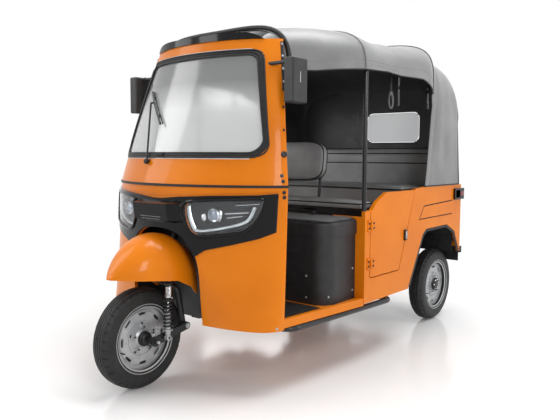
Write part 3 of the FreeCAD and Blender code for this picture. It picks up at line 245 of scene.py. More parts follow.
def moulded_plastic(name, colour, roughness):
    return finish(name, colour, roughness, (20, colour, tuple(part * 1.35 for part in colour)),
                  bumps=[("Voronoi", 650, 0.00012, 0.7)], Specular_IOR_Level=0.3)


def clear_glass(name, colour, roughness, thin):
    return finish(name, colour, roughness, gloss=(12, roughness, roughness + 0.03), Transmission_Weight=thin,
                  IOR=1.2, Specular_IOR_Level=0.3)


def screen_glass():
    """Screen with a pale grey colour that is painted reflection, darker along its top as a band of painted reflection;
    it hides more of what lies behind it than it shows.
    """
    made = material("screen_glass", (0.6, 0.61, 0.61), 0.03, Transmission_Weight=0.42, IOR=1.5, Specular_IOR_Level=0.8)
    split = shader_node(made.node_tree, "SeparateXYZ", {0: object_place(made)})
    # Painted reflection: darker grey over the top of the screen, pale grey below it.
    band = shader_node(made.node_tree, "MapRange", {"Value": split.outputs["Z"], "From Min": 1.36, "From Max": 1.5})
    tint(made, band.outputs[0], (0.64, 0.65, 0.65), (0.3, 0.305, 0.305), 0.0, 1.0)
    roughen(made, texture(made, "Noise", 12), 0.1, 0.15)
    return made


ORANGE = finish("orange_gloss", (0.7, 0.19, 0.004), 0.32, (3, (0.67, 0.172, 0.003), (0.73, 0.2, 0.005)),
                (40, 0.26, 0.36), [("Noise", 700, 0.00004)], Specular_IOR_Level=0.1, Coat_Weight=0.2,
                Coat_Roughness=0.05)
BLACK = finish("black_satin", (0.012, 0.012, 0.013), 0.4, (14, (0.009, 0.009, 0.01), (0.017, 0.017, 0.018)),
               (60, 0.34, 0.5), [("Noise", 500, 0.00008)], Specular_IOR_Level=0.25, Coat_Weight=0.15,
               Coat_Roughness=0.2)
TYRE = rubber("tyre_rubber", 0.017, 0.5)
RUBBER = rubber("seal_rubber", 0.014, 0.5)
ROOF = canopy_fabric("roof_canvas", (0.155, 0.157, 0.156), (0.2, 0.203, 0.201))
ROOF_LIGHT = canopy_fabric("roof_canvas_light", (0.26, 0.262, 0.26), (0.32, 0.322, 0.32))
THREAD = rubber("sewing_thread", 0.05, 0.6)
# Darker copy of the roof canvas for the part ahead of its seam: painted shade.
ROOF_FRONT_PAINTED_SHADE = canopy_fabric("roof_canvas_front_painted_shade", (0.125, 0.126, 0.127), (0.165, 0.166, 0.167))
LINING = canopy_fabric("roof_lining", (0.034, 0.035, 0.036), (0.052, 0.053, 0.055))
VINYL = finish("seat_vinyl_grey", (0.27, 0.272, 0.272), 0.42, (8, (0.21, 0.212, 0.212), (0.27, 0.272, 0.272)),
               bumps=[("Voronoi", 420, 0.0003, 0.6), ("Noise", 30, 0.0015, 0.3)], Coat_Weight=0.15,
               Coat_Roughness=0.3)
PIPING = rubber("seat_piping", 0.012, 0.4)
SILVER = finish("wheel_silver", (0.42, 0.43, 0.44), 0.36, (30, (0.38, 0.39, 0.4), (0.45, 0.46, 0.47)),
                bumps=[("Noise", 800, 0.00006)], Metallic=0.35, Specular_IOR_Level=0.3)
PLASTIC = moulded_plastic("black_plastic_grained", (0.02, 0.02, 0.021), 0.45)
GLOSS = finish("gloss_black", (0.004, 0.004, 0.005), 0.12, None, (30, 0.08, 0.18), [("Noise", 600, 0.00002)],
               Specular_IOR_Level=0.12, Coat_Weight=0.2, Coat_Roughness=0.03)
SCREEN_GLASS_PAINTED_REFLECTION = screen_glass()
FILM = clear_glass("window_film", (0.85, 0.86, 0.87), 0.12, 0.6)
LENS = clear_glass("lamp_lens", (0.9, 0.92, 0.94), 0.02, 0.97)
CHROME = finish("chrome", (0.8, 0.81, 0.82), 0.1, None, (80, 0.06, 0.16), Metallic=1.0)
ALLOY = finish("cast_alloy", (0.35, 0.35, 0.36), 0.45, (18, (0.22, 0.22, 0.22), (0.42, 0.42, 0.43)),
               bumps=[("Noise", 260, 0.0006)], Metallic=0.9)
# Pale grey: the dial's printed marks, and painted highlights on the windscreen's edges and on the mirror.
PALE_PRINT_AND_PAINTED_HIGHLIGHT = moulded_plastic("pale_print_and_painted_highlight", (0.55, 0.55, 0.55), 0.35)
GREY = moulded_plastic("grey_plastic", (0.13, 0.132, 0.134), 0.42)
GUIDE = finish("light_guide", (0.72, 0.74, 0.76), 0.22, (60, (0.62, 0.64, 0.66), (0.78, 0.8, 0.82)), Coat_Weight=0.6)
BULB = finish("projector_lens", (0.3, 0.34, 0.4), 0.04, None, (50, 0.03, 0.08), Coat_Weight=1.0, Metallic=0.4)
MIRROR = finish("mirror_glass", (0.75, 0.77, 0.78), 0.03, None, (20, 0.02, 0.05), Metallic=1.0)
AMBER = finish("lamp_amber", (0.7, 0.22, 0.01), 0.15, bumps=[("Voronoi", 160, 0.0008)], Coat_Weight=1.0)
RED = finish("lamp_red", (0.22, 0.004, 0.005), 0.2, bumps=[("Voronoi", 160, 0.0008)], Specular_IOR_Level=0.3,
             Coat_Weight=0.2)
# Black enamel of tubes and bars, with a clear highlight along them.
BAR = finish("black_enamel", (0.01, 0.01, 0.011), 0.2, (12, (0.008, 0.008, 0.009), (0.014, 0.014, 0.015)),
             (40, 0.16, 0.26), Specular_IOR_Level=0.45)
# Brake drum behind the rim: the drum is real, its near black is painted shade seen through the rim's slots.
DRUM_WITH_PAINTED_SHADE = rubber("brake_drum_painted_shade", 0.01, 0.6)

FINISHES = {"tyre": TYRE, "wheel_silver": SILVER, "black_metal": BLACK, "orange_paint": ORANGE, "black_rubber": RUBBER,
            "clear_glass": SCREEN_GLASS_PAINTED_REFLECTION, "gloss_black": GLOSS, "lamp_glass": LENS, "black_plastic": PLASTIC,
            "seat_vinyl": VINYL, "canopy_fabric": ROOF, "clear_film": FILM, "engine_alloy": ALLOY, "lamp_red": RED}
OWN_FINISHES = {"door_hinges": ORANGE, "roof_frame": BAR, "roof_header": GLOSS, "running_tubes": BAR,
                "tail_lamps": GLOSS, "wheel_arch_liners": RUBBER}

make_camera()
make_world()
make_floor()
make_lamps_of_stage()
bpy.context.scene.view_settings.view_transform = "Standard"


def dress_nodes():
    """Every solid of the model gets the finish of its slot, a few one of their own."""
    for entry in frame["record"]["subparts"]:
        for slot in nodes[entry["node"]].material_slots:
            slot.link = "OBJECT"
            slot.material = OWN_FINISHES.get(entry["node"], FINISHES[entry["material_slot"]])


dress_nodes()


# Mesh tools

BOTH_SIDES = ((1, "left"), (-1, "right"))
LEFT, BACK, UP = Vector((1, 0, 0)), Vector((0, 1, 0)), Vector((0, 0, 1))
FORWARD, DOWN = Vector((0, -1, 0)), Vector((0, 0, -1))


def new_mesh(name, points, faces, straighten=True):
    mesh = bpy.data.meshes.new(name)
    mesh.from_pydata([tuple(point) for point in points], [], faces)
    if straighten:
        shape = bmesh.new()
        shape.from_mesh(mesh)
        bmesh.ops.recalc_face_normals(shape, faces=shape.faces)
        shape.to_mesh(mesh)
        shape.free()
    return mesh


class Build:
    """Points and faces of one piece; each face keeps the number of its finish."""

    def __init__(self):
        self.points, self.faces, self.marks = [], [], []

    def add(self, shape, mark=0):
        points, faces = shape
        start = len(self.points)
        self.points += points
        self.faces += [tuple(index + start for index in face) for face in faces]
        self.marks += [mark] * len(faces)

    def bar(self, path, radius, sides=8, mark=0, flat=1.0):
        self.add(tube(path, radius, sides, flat), mark)

    def disc(self, profile, place, way, steps, mark=0):
        self.add(disc_stack(profile, place, way, steps), mark)

    def ring(self, profile, place, way, steps, mark=0):
        self.add(turned(profile, place, way, steps), mark)

    def block(self, low, high, bevel, steps=2, mark=0):
        self.add(slab(low, high, bevel, steps), mark)

    def bolt(self, place, way, size, tall, mark=0):
        """Hexagon head with a chamfer on a round washer."""
        self.disc([(0, size * 1.5), (tall * 0.25, size * 1.45)], place, way, 16, mark)
        self.disc([(tall * 0.25, size), (tall * 0.85, size), (tall, size * 0.8)], place, way, 6, mark)

    def piece(self, name, slot, *finishes, body="chassis", sharp=35, straighten=True):
        mesh = new_mesh(name, self.points, self.faces, straighten)
        for made in finishes:
            mesh.materials.append(made)
        mesh.polygons.foreach_set("material_index", self.marks)
        mesh.shade_smooth()
        mesh.set_sharp_from_angle(angle=math.radians(sharp))
        made = new_object(name, mesh)
        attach(made, body)
        return made


def strip(rows, capped=False, joined=False):
    """Faces over closed rows of points, capped at the ends or joined last to first."""
    count = len(rows[0])
    points = [point for row in rows for point in row]
    faces = []
    for row in range(len(rows) if joined else len(rows) - 1):
        after = (row + 1) % len(rows)
        for column in range(count):
            beside = (column + 1) % count
            faces.append((row * count + column, row * count + beside, after * count + beside, after * count + column))
    if capped:
        faces += [tuple(range(count)), tuple(range(len(points) - count, len(points)))]
    return points, faces


def axes_of(way):
    """Unit way with two directions across it."""
    way = Vector(way).normalized()
    side = way.orthogonal().normalized()
    return way, side, way.cross(side)


def circle(middle, side, up, radius, steps, flat=1.0):
    angles = [2 * math.pi * step / steps for step in range(steps)]
    return [middle + (side * math.cos(angle) + up * math.sin(angle) * flat) * radius for angle in angles]


def tube(path, radius, sides=10, flat=1.0):
    """Round bar along a path; the radius may be a list, and flat squashes its section."""
    path = [Vector(point) for point in path]
    radii = radius if isinstance(radius, list) else [radius] * len(path)
    side = None
    rows = []
    for index, point in enumerate(path):
        ahead = (path[min(index + 1, len(path) - 1)] - path[max(index - 1, 0)]).normalized()
        side = ahead.orthogonal() if side is None else side - ahead * side.dot(ahead)
        side.normalize()
        rows.append(circle(point, side, ahead.cross(side), radii[index], sides, flat))
    return strip(rows, capped=True)


def turned(profile, place, way, steps):
    """Closed (along, radius) outline turned about an axis through a place."""
    way, side, up = axes_of(way)
    place = Vector(place)
    outs = circle(Vector(), side, up, 1, steps)
    return strip([[place + way * along + out * radius for along, radius in profile] for out in outs], joined=True)


def disc_stack(profile, place, way, steps):
    """Solid of (along, radius) rings from end to end, with flat ends."""
    way, side, up = axes_of(way)
    place = Vector(place)
    return strip([circle(place + way * along, side, up, radius, steps) for along, radius in profile], capped=True)


def slab(low, high, bevel, steps=2):
    """Block with rounded edges."""
    shape = bmesh.new()
    bmesh.ops.create_cube(shape, size=1)
    for corner in shape.verts:
        corner.co = Vector([(low[k] + high[k]) / 2 + corner.co[k] * (high[k] - low[k]) for k in range(3)])
    bmesh.ops.bevel(shape, geom=shape.edges[:], offset=bevel, segments=steps, profile=0.5, affect="EDGES")
    shape.verts.index_update()
    points = [corner.co.copy() for corner in shape.verts]
    faces = [tuple(corner.index for corner in face.verts) for face in shape.faces]
    shape.free()
    return points, faces


def beside(side, low, high):
    """Corners of a block that is given for the left side, put on either side."""
    xs = sorted((side * low[0], side * high[0]))
    return (xs[0], *low[1:]), (xs[1], *high[1:])


def flowing(points, steps=6, loop=False):
    """Smooth line through points; through two numbers it runs as x and z of the front view."""
    points = [Vector((point[0], 0, point[1]) if len(point) == 2 else point) for point in points]
    count = len(points)
    out = []
    for index in range(count if loop else count - 1):
        before, start, end, after = [points[place % count if loop else min(max(place, 0), count - 1)]
                                     for place in range(index - 1, index + 3)]
        for t in (step / steps for step in range(steps)):
            out.append(0.5 * (2 * start + (end - before) * t + (2 * before - 5 * start + 4 * end - after) * t ** 2
                              + (3 * start - before - 3 * end + after) * t ** 3))
    out.append(points[0] if loop else points[-1])
    return out


def round_box(low, high, corner, steps):
    """Outline of a rounded rectangle, corner by corner from the high end of both axes."""
    out = []
    for turn, (a, b) in enumerate(((1, 1), (-1, 1), (-1, -1), (1, -1))):
        middle = [high[k] - corner if sign > 0 else low[k] + corner for k, sign in enumerate((a, b))]
        for step in range(steps + 1):
            angle = math.pi / 2 * (turn + step / steps)
            out.append((middle[0] + corner * math.cos(angle), middle[1] + corner * math.sin(angle)))
    return out


def skin_of(*names):
    """Tree of the model's own surfaces, to lay pieces on."""
    points = []
    faces = []
    for mesh in (nodes[name].data for name in names):
        start = len(points)
        points += [corner.co.copy() for corner in mesh.vertices]
        faces += [tuple(index + start for index in face.vertices) for face in mesh.polygons]
    return BVHTree.FromPolygons(points, faces)


def struck(tree, start, way):
    """Where a ray meets a surface, and the way out of it."""
    way = Vector(way).normalized()
    place, normal, *_ = tree.ray_cast(Vector(start), way)
    if place is None:
        return None, None
    return place, -normal if normal.dot(way) > 0 else normal


def middle_of(name, axis, low, high):
    """Middle of a node's corners between two levels of an axis."""
    inside = [corner.co for corner in nodes[name].data.vertices if low <= corner.co[axis] <= high]
    return Vector([(min(c[k] for c in inside) + max(c[k] for c in inside)) / 2 for k in range(3)])


# Where rays towards the model start: from the front, and from a side.
AHEAD, ASIDE = -2, 1.2
FRONT_SKIN = skin_of("front_cowl", "front_fascia", "headlamps", "windscreen_surround", "windscreen_gasket",
                     "windscreen_glass", "waist_bead")


def on_front(x, z, stand=0.0):
    """Point on the vehicle's face at a place in the front view, held off along the surface's normal."""
    place, normal = struck(FRONT_SKIN, (x, AHEAD, z), BACK)
    if place is None:
        raise RuntimeError("no front surface at %.3f, %.3f" % (x, z))
    return place + normal * stand


def over_front(points, stand):
    return [on_front(x, z, stand) for x, z in points]


def front_view(line):
    return [(point.x, point.z) for point in line]


# Wheels: half sections as (x, radius)

TYRE_SIDE = [(0.044, 0.1565), (0.0475, 0.16), (0.0492, 0.166), (0.05, 0.1705), (0.0512, 0.1715),
             (0.0512, 0.1745), (0.0506, 0.176), (0.0516, 0.19), (0.0519, 0.198), (0.0514, 0.2075),
             (0.0502, 0.2085), (0.05, 0.212), (0.049, 0.219)]
SHOULDER = [(0.0478, 0.224), (0.0455, 0.2282), (0.042, 0.2318), (0.038, 0.2345), (0.033, 0.237)]
TYRE_HEEL = [(-0.04, 0.157), (0.04, 0.157)]
# Tread points as (x, 1 at the bottom of a groove).
TREAD = [(0.03, 0), (0.0225, 0), (0.0221, 1), (0.0189, 1), (0.0185, 0), (0.0085, 0), (0.0081, 1), (-0.0035, 1),
         (-0.0039, 0)]
ZIGZAG_HALF = 0.026
PITCHES = 36
PITCH_STEPS = (0.0, 0.02, 0.14, 0.16, 0.37, 0.58, 0.79)
GROOVE_DEPTH = 0.0055
DRUM_RING = [(0.005, 0.06), (0.015, 0.06), (0.015, 0.136), (0.005, 0.14)]
RIM_LIP = [(0.0405, 0.1515), (0.0425, 0.151), (0.045, 0.155), (0.0462, 0.16), (0.049, 0.166),
           (0.051, 0.1695), (0.05, 0.1715), (0.0475, 0.17), (0.045, 0.164), (0.043, 0.157)]
DISC_RING = [(0.0236, 0.079), (0.0271, 0.081), (0.0271, 0.084), (0.0236, 0.086)]
DISC_FACE = 0.0236
DISC_STEP = [(0.024, 0.129), (0.0262, 0.131), (0.0262, 0.1345), (0.024, 0.1365)]
NUT_CIRCLE = 0.058
SLOT_CIRCLE = 0.121
FRONT_CAP = [(0.0355, 0.0365), (0.048, 0.0355), (0.051, 0.031), (0.06, 0.03), (0.063, 0.026), (0.0645, 0.0235)]
REAR_CAP = [(0.0355, 0.042), (0.04, 0.0418), (0.0445, 0.0395), (0.049, 0.033), (0.0515, 0.024), (0.0525, 0.012),
            (0.0528, 0.004)]
CAP_COLLAR = [(0.04, 0.0402), (0.0425, 0.044), (0.0405, 0.045), (0.036, 0.0445), (0.036, 0.0402)]


def spoke(angle):
    return Vector((0, math.cos(angle), math.sin(angle)))


def tyre_row(share):
    """One section of the tyre: side, cut shoulder and tread with zigzag grooves."""
    cut = GROOVE_DEPTH * 0.8 if 0.01 < share < 0.15 else 0.0
    zigzag = 0.0028 * (abs(share - 0.5) * 4 - 1)
    row = TYRE_SIDE + [(x, r - cut) for x, r in SHOULDER]
    for x, sunk in TREAD:
        moved = x + zigzag if abs(x) < ZIGZAG_HALF else x
        row.append((moved, 0.2446 - 3.1 * moved * moved - GROOVE_DEPTH * sunk))
    return row


def tyre_shape(centre):
    """Tyre with tread, mirrored about its middle, as one closed band."""
    rows = []
    for pitch in range(PITCHES):
        for share in PITCH_STEPS:
            angle = 2 * math.pi * (pitch + share) / PITCHES
            left = [(-x, r) for x, r in tyre_row((share + 0.5) % 1.0)]
            rows.append([Vector((centre[0] + x, centre[1] + r * math.cos(angle), centre[2] + r * math.sin(angle)))
                         for x, r in tyre_row(share) + left[::-1] + TYRE_HEEL])
    return strip(rows, joined=True)


def make_wheel(name, body, centre, outside):
    """Tyre, brake drum in near black as painted shade behind the slots, rim lips, nuts, slot edges, valve and hub cap;
    outside is the side the disc faces.
    """
    centre = Vector(centre)
    way = Vector((outside, 0, 0))
    tyre = Build()
    tyre.add(tyre_shape(centre))
    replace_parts(tyre.piece(name + "_tread", "tyre", TYRE, body=body, sharp=28), name + "_tyre")
    rim = Build()
    # Drum ring in near black, painted shade behind the slots of the rim.
    rim.ring(DRUM_RING, centre, way, 64, 2)
    for side in (1, -1):
        rim.ring(RIM_LIP, centre, way * side, 96)
    rim.ring(DISC_RING, centre, way, 72)
    rim.ring(DISC_STEP, centre, way, 96)
    for index in range(5):
        seat = centre + way * DISC_FACE + spoke(math.radians(18 + 72 * index)) * NUT_CIRCLE
        rim.disc([(0, 0.0125), (0.002, 0.0125), (0.003, 0.0108)], seat, way, 20)
        rim.disc([(0.003, 0.0085), (0.011, 0.0085), (0.0135, 0.0065)], seat, way, 6)
        rim.disc([(0.0135, 0.0042), (0.019, 0.0042), (0.02, 0.003)], seat, way, 14, 1)
    for index in range(8):
        rail = []
        for turn in (2 * math.pi * step / 24 for step in range(25)):
            along = 0.022 * math.copysign(abs(math.cos(turn)) ** 0.6, math.cos(turn))
            out = spoke(2 * math.pi * index / 8 + along / SLOT_CIRCLE)
            rail.append(centre + way * 0.0246 + out * (SLOT_CIRCLE + 0.0078 * math.sin(turn)))
        rim.bar(rail, 0.0012, 6)
    out = spoke(math.radians(200))
    start = centre + way * 0.024 + out * 0.132
    valve = [start, start + way * 0.012 + out * 0.002, start + way * 0.026 - out * 0.002]
    rim.bar(valve, [0.004, 0.0032, 0.0028], 10, 1)
    rim.piece(name + "_rim_details", "wheel_silver", SILVER, BLACK, DRUM_WITH_PAINTED_SHADE, body=body)
    hub = Build()
    if name == "front":
        hub.disc(FRONT_CAP, centre, way, 40)
        bolts = (5, 54, 0.0505, 0.0272, 0.0032)
    else:
        hub.disc(REAR_CAP, centre, way, 48)
        hub.ring(CAP_COLLAR, centre, way, 48)
        bolts = (6, 0, 0.0485, 0.0318, 0.003)
    count, first, along, radius, size = bolts
    for index in range(count):
        out = spoke(math.radians(first + 360 / count * index))
        hub.bolt(centre + way * along + out * radius, way, size, 0.003, 1)
    hub.piece(name + "_hub_cap", "black_metal", BLACK, CHROME, body=body)


def make_wheels():
    places = {joint["name"]: joint["pos_m"] for joint in frame["record"]["behaviour"]["joints"]}
    radius = places["front_wheel_spin"][2]
    side, half = places["rear_left_wheel_spin"][:2]
    make_wheel("front", "front_wheel", (0, -half, radius), 1)
    make_wheel("rear_left", "rear_left_wheel", (side, half, radius), 1)
    make_wheel("rear_right", "rear_right_wheel", (-side, half, radius), -1)


# Steering gear and the front wheel's springing

STRUT_FOOT = 0.257
FRONT_AXLE, LINK_PIVOT = (-1.0625, 0.245), (-0.863, 0.283)
GRIP_LONG = 0.118
GRIP_FLANGE = [(-0.002, 0.0172), (-0.001, 0.0235), (0.003, 0.0235)]
GRIP_RIB = [(0, 0.0172), (0.0018, 0.0183), (0.0032, 0.0183), (0.0044, 0.0172)]
GRIP_RIBS, GRIP_PITCH = 24, 0.0046
# Hand lever: way along the grip, then y and z off it.
LEVER = [(-0.022, -0.018, 0), (0.002, -0.034, -0.004), (0.05, -0.038, -0.008), (0.086, -0.034, -0.01)]


def make_strut():
    """Damper, its chrome rod, the large coil and the narrow coil above."""
    top = middle_of("front_strut", 2, 0.515, 0.53)
    foot = middle_of("front_strut", 2, 0.24, 0.25)
    foot.z = STRUT_FOOT
    length = (top - foot).length
    way, side, up = axes_of(top - foot)
    strut = Build()
    strut.disc([(-0.012, 0.0125), (-0.01, 0.014), (0.01, 0.014), (0.012, 0.0125)], foot, LEFT, 28, 1)
    strut.disc([(-0.014, 0.0062), (0.014, 0.0062)], foot, LEFT, 20)
    strut.disc([(0.008, 0.01), (0.018, 0.0135), (0.034, 0.0135), (0.036, 0.0242), (0.041, 0.0245), (0.043, 0.013),
                (0.125, 0.013), (0.128, 0.0105)], foot, way, 28, 1)
    strut.disc([(0.125, 0.0068), (length - 0.014, 0.0068)], foot, way, 20, 2)
    strut.disc([(0.176, 0.0215), (0.18, 0.024), (0.187, 0.024), (0.191, 0.015), (length - 0.016, 0.0148),
                (length - 0.014, 0.019), (length - 0.003, 0.019), (length, 0.016)], foot, way, 28)
    for start, end, radius, wire, turns, mark in ((0.046, 0.174, 0.0208, 0.0042, 7.5, 0),
                                                  (0.193, length - 0.018, 0.0172, 0.0022, 9, 2)):
        coil = []
        count = int(turns * 20)
        for share in (index / count for index in range(count + 1)):
            angle = 2 * math.pi * turns * share
            along = start + (end - start) * share
            coil.append(foot + way * along + (side * math.cos(angle) + up * math.sin(angle)) * radius)
        strut.bar(coil, wire, 8, mark)
    piece = strut.piece("front_spring_unit", "black_metal", BLACK, SILVER, CHROME, body="steering")
    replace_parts(piece, "front_strut")


def make_steering_details():
    """Grips, switch boxes and hand levers, and the bolts of the front link."""
    bars = Build()
    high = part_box("handlebar")[1][0]
    end = middle_of("handlebar", 0, high - 0.004, high)
    inner = middle_of("handlebar", 0, 0.18, 0.2)
    ribs = [(0.004 + index * GRIP_PITCH + along, radius) for index in range(GRIP_RIBS) for along, radius in GRIP_RIB]
    for side in (1, -1):
        tip = Vector((side * high, end.y, end.z))
        way = (tip - Vector((side * 0.19, inner.y, inner.z))).normalized()
        start = tip - way * GRIP_LONG
        bars.disc([*GRIP_FLANGE, *ribs, (0.1155, 0.0195), (GRIP_LONG, 0.0185)], start, way, 24, 1)
        bars.disc([(-0.04, 0.0165), (-0.038, 0.0195), (-0.008, 0.0195), (-0.006, 0.0165)], start, way, 20, 2)
        lever = flowing([start + way * along + Vector((0, y, z)) for along, y, z in LEVER])
        bars.bar(lever, 0.0052, 10, 3, 0.6)
    bars.piece("handlebar_grips", "black_metal", BLACK, RUBBER, PLASTIC, SILVER, body="steering")
    bolts = Build()
    face = max(corner.co.x for corner in nodes["front_link"].data.vertices if corner.co.y > -0.9)
    axle = (face, *FRONT_AXLE)
    bolts.bolt((face, *LINK_PIVOT), LEFT, 0.0085, 0.008, 1)
    bolts.bolt(axle, LEFT, 0.0125, 0.012)
    bolts.disc([(0.01, 0.0075), (0.02, 0.0075), (0.022, 0.006)], axle, LEFT, 18, 1)
    bolts.piece("link_bolts", "black_metal", BLACK, SILVER, body="steering")


make_wheels()
make_strut()
make_steering_details()


# Pads: the passenger's are blown up from their solids, the driver's are drawn in their place

PAD_INSET, PAD_VOXEL, PAD_REACH, PAD_FILL = 0.011, 0.01, 0.016, 0.85
CLOTH = {"use_pressure": True, "uniform_pressure_force": 4, "quality": 4, "mass": 0.35, "tension_stiffness": 14,
         "compression_stiffness": 10, "shear_stiffness": 6, "bending_stiffness": 0.6}
CLOTH_STEPS = 20
PAD_RINGS = (0.12, 0.25, 0.38, 0.5, 0.61, 0.71, 0.79, 0.86, 0.915, 0.955, 0.982, 1.0)
PAD_AROUND = 144
PIPE = 0.0042
BACK_SEAMS = (1.085, 1.15)
CREASE = 0.0007


def read_vectors(made, kind):
    values = np.empty(len(made.data.vertices) * 3)
    made.data.vertices.foreach_get(kind, values)
    return values.reshape(-1, 3)


def points_of(made):
    return read_vectors(made, "co")


def put_points(made, spots):
    made.data.vertices.foreach_set("co", spots.ravel())


def push(made, amounts):
    """Moves each point along its normal."""
    put_points(made, points_of(made) + read_vectors(made, "normal") * np.reshape(amounts, (-1, 1)))


def settle(made):
    """Makes the piece's modifiers part of its mesh."""
    seen = made.evaluated_get(bpy.context.evaluated_depsgraph_get())
    mesh = bpy.data.meshes.new_from_object(seen)
    made.modifiers.clear()
    made.data = mesh


def loose_copy(node):
    """Copy of a padded solid, drawn in a little and remeshed for the cloth to start from."""
    shape = bmesh.new()
    shape.from_mesh(nodes[node].data)
    bmesh.ops.remove_doubles(shape, verts=shape.verts, dist=0.0002)
    bmesh.ops.recalc_face_normals(shape, faces=shape.faces)
    shape.normal_update()
    mesh = bpy.data.meshes.new(node + "_cover")
    shape.to_mesh(mesh)
    shape.free()
    made = new_object(node + "_cover", mesh)
    bpy.context.view_layer.objects.active = made
    remesh = made.modifiers.new("even", "REMESH")
    remesh.mode = "VOXEL"
    remesh.voxel_size = PAD_VOXEL
    settle(made)
    push(made, np.full(len(made.data.vertices), -PAD_INSET))
    return made


def blow_up(pieces):
    """Short cloth simulation under inner pressure; no point moves further than the pad's reach."""
    starts = [points_of(made) for made in pieces]
    for made in pieces:
        cloth = made.modifiers.new("cloth", "CLOTH")
        for name, value in CLOTH.items():
            setattr(cloth.settings, name, value)
        cloth.settings.effector_weights.gravity = 0
        cloth.collision_settings.use_collision = False
        cloth.point_cache.frame_start = 1
        cloth.point_cache.frame_end = CLOTH_STEPS
    for number in range(1, CLOTH_STEPS + 1):
        bpy.context.scene.frame_set(number)
        bpy.context.view_layer.update()
    for made, start in zip(pieces, starts):
        settle(made)
        moved = points_of(made) - start
        length = np.linalg.norm(moved, axis=1, keepdims=True)
        put_points(made, start + moved * np.minimum(1, PAD_REACH / np.maximum(length, 1e-9)))
    bpy.context.scene.frame_set(1)


def flatten_foot(made, level):
    """Presses what would hang below a level back up to it, where the pad rests on something."""
    spots = points_of(made)
    spots[:, 2] = np.maximum(spots[:, 2], level)
    put_points(made, spots)


def press_lines(made, lines, depth, width):
    """Sewn channels: the cover is pulled in along lines."""
    spots = points_of(made)
    pull = np.zeros(len(spots))
    for start, end in np.array(lines):
        run = end - start
        share = np.clip(((spots - start) @ run) / (run @ run), 0, 1)
        away = np.linalg.norm(spots - start - share[:, None] * run, axis=1)
        pull = np.maximum(pull, np.exp(-(away / width) ** 2))
    push(made, -(pull * depth))


def swell(made, low, high, axis, sign, amount):
    """Gentle crown over the middle of the face that looks along an axis, or against it."""
    spots = points_of(made)
    crown = np.ones(len(spots))
    for k in {0, 1, 2} - {axis}:
        crown *= np.clip(1 - ((spots[:, k] - low[k]) / (high[k] - low[k]) * 2 - 1) ** 4, 0, 1)
    push(made, crown * np.clip(read_vectors(made, "normal")[:, axis] * sign, 0, 1) * amount)


def creases(made, amount, seed):
    """Small drawn folds of a cover."""
    push(made, np.array([noise.noise(Vector((p[0] * 9 + seed, p[1] * 9, p[2] * 14))) + 0.4 * noise.noise(Vector(p * 31))
                         for p in points_of(made)]) * amount)


def hugging(made, line, stand, steps=5, loop=True):
    """Smooth line laid onto a cushion's cover."""
    mesh = made.data
    tree = BVHTree.FromPolygons([corner.co for corner in mesh.vertices], [face.vertices for face in mesh.polygons])
    out = []
    for point in flowing(line, steps, loop):
        place, normal, *_ = tree.find_nearest(point)
        out.append(place + normal * stand)
    for _ in range(2):
        out = [(out[i - 1] + out[i] * 2 + out[(i + 1) % len(out)]) / 4 if loop or 0 < i < len(out) - 1 else out[i]
               for i in range(len(out))]
    return out + out[:1] if loop else out


def back_loop(made, share):
    """Outline of a leaning backrest at a share of its thickness, from its own corners."""
    spots = points_of(made)
    low, high = spots[:, 2].min(), spots[:, 2].max()
    band = (high - low) * 0.12
    foot, head = (rows[:, 1].min() + (rows[:, 1].max() - rows[:, 1].min()) * share
                  for rows in (spots[spots[:, 2] < low + band], spots[spots[:, 2] > high - band]))
    half = np.abs(spots[:, 0]).max() - 0.004
    outline = round_box((-half, low + 0.004), (half, high - 0.004), 0.055, 3)
    return [Vector((x, foot + (head - foot) * ((z - low) / (high - low)), z)) for x, z in outline]


def pad_shape(middle, axes, halves, power, rim, crown, flat_back):
    """Sewn pad: a crowned cover on each face and a band between its two seams, which are returned as well."""
    across, up, out = axes
    width, height, thick = halves
    outline = []
    for angle in (2 * math.pi * step / PAD_AROUND for step in range(PAD_AROUND)):
        x, y = (math.copysign(abs(part) ** (2 / power), part) for part in (math.cos(angle), math.sin(angle)))
        outline.append((x * width, y * height))

    def ring(share, rise, draw=0.0):
        return [middle + across * x * share * (1 - draw / width) + up * y * share * (1 - draw / height) + out * rise
                for x, y in outline]

    def rise_at(share):
        return thick * (rim + (1 - rim) * (1 - share ** 4) ** 0.5)

    front = [ring(share, rise_at(share) + crown * (1 - share ** 2)) for share in PAD_RINGS]
    band = [ring(1.0, thick * rim * share, 0.0035 * (share * share - 1)) for share in (0.5, 0.0, -0.5)]
    edge = ring(1.0, -thick * rim)
    back = [ring(share, -(thick * rim if flat_back else rise_at(share))) for share in PAD_RINGS[-2::-1]]
    return strip(front + band + [edge] + back, capped=True), (front[-1], edge)


def make_pad(node, power, rim, crown, grow, flat_back):
    """Pad in the place of a block that may lean; returns its object and its seams."""
    spots = points_of(nodes[node])
    level = (spots[:, 2].min() + spots[:, 2].max()) / 2
    upper = spots[spots[:, 2] > level].mean(axis=0)
    lower = spots[spots[:, 2] < level].mean(axis=0)
    rise = Vector(upper - lower)
    middle = Vector((upper + lower) / 2)
    lean = rise.normalized()
    ahead = lean.cross(LEFT)
    half = (spots[:, 0].max() - spots[:, 0].min()) / 2
    depth = ((spots - np.array(middle)) @ np.array(ahead)).max()
    if flat_back:
        axes, halves = (LEFT, ahead, lean), (half + grow, depth + grow, rise.length / 2)
    else:
        axes, halves = (LEFT, lean, -ahead), (half - grow, rise.length / 2 + grow, depth)
    shape, seams = pad_shape(middle, axes, halves, power, rim, crown, flat_back)
    return new_object(node + "_cover", new_mesh(node + "_cover", *shape)), seams


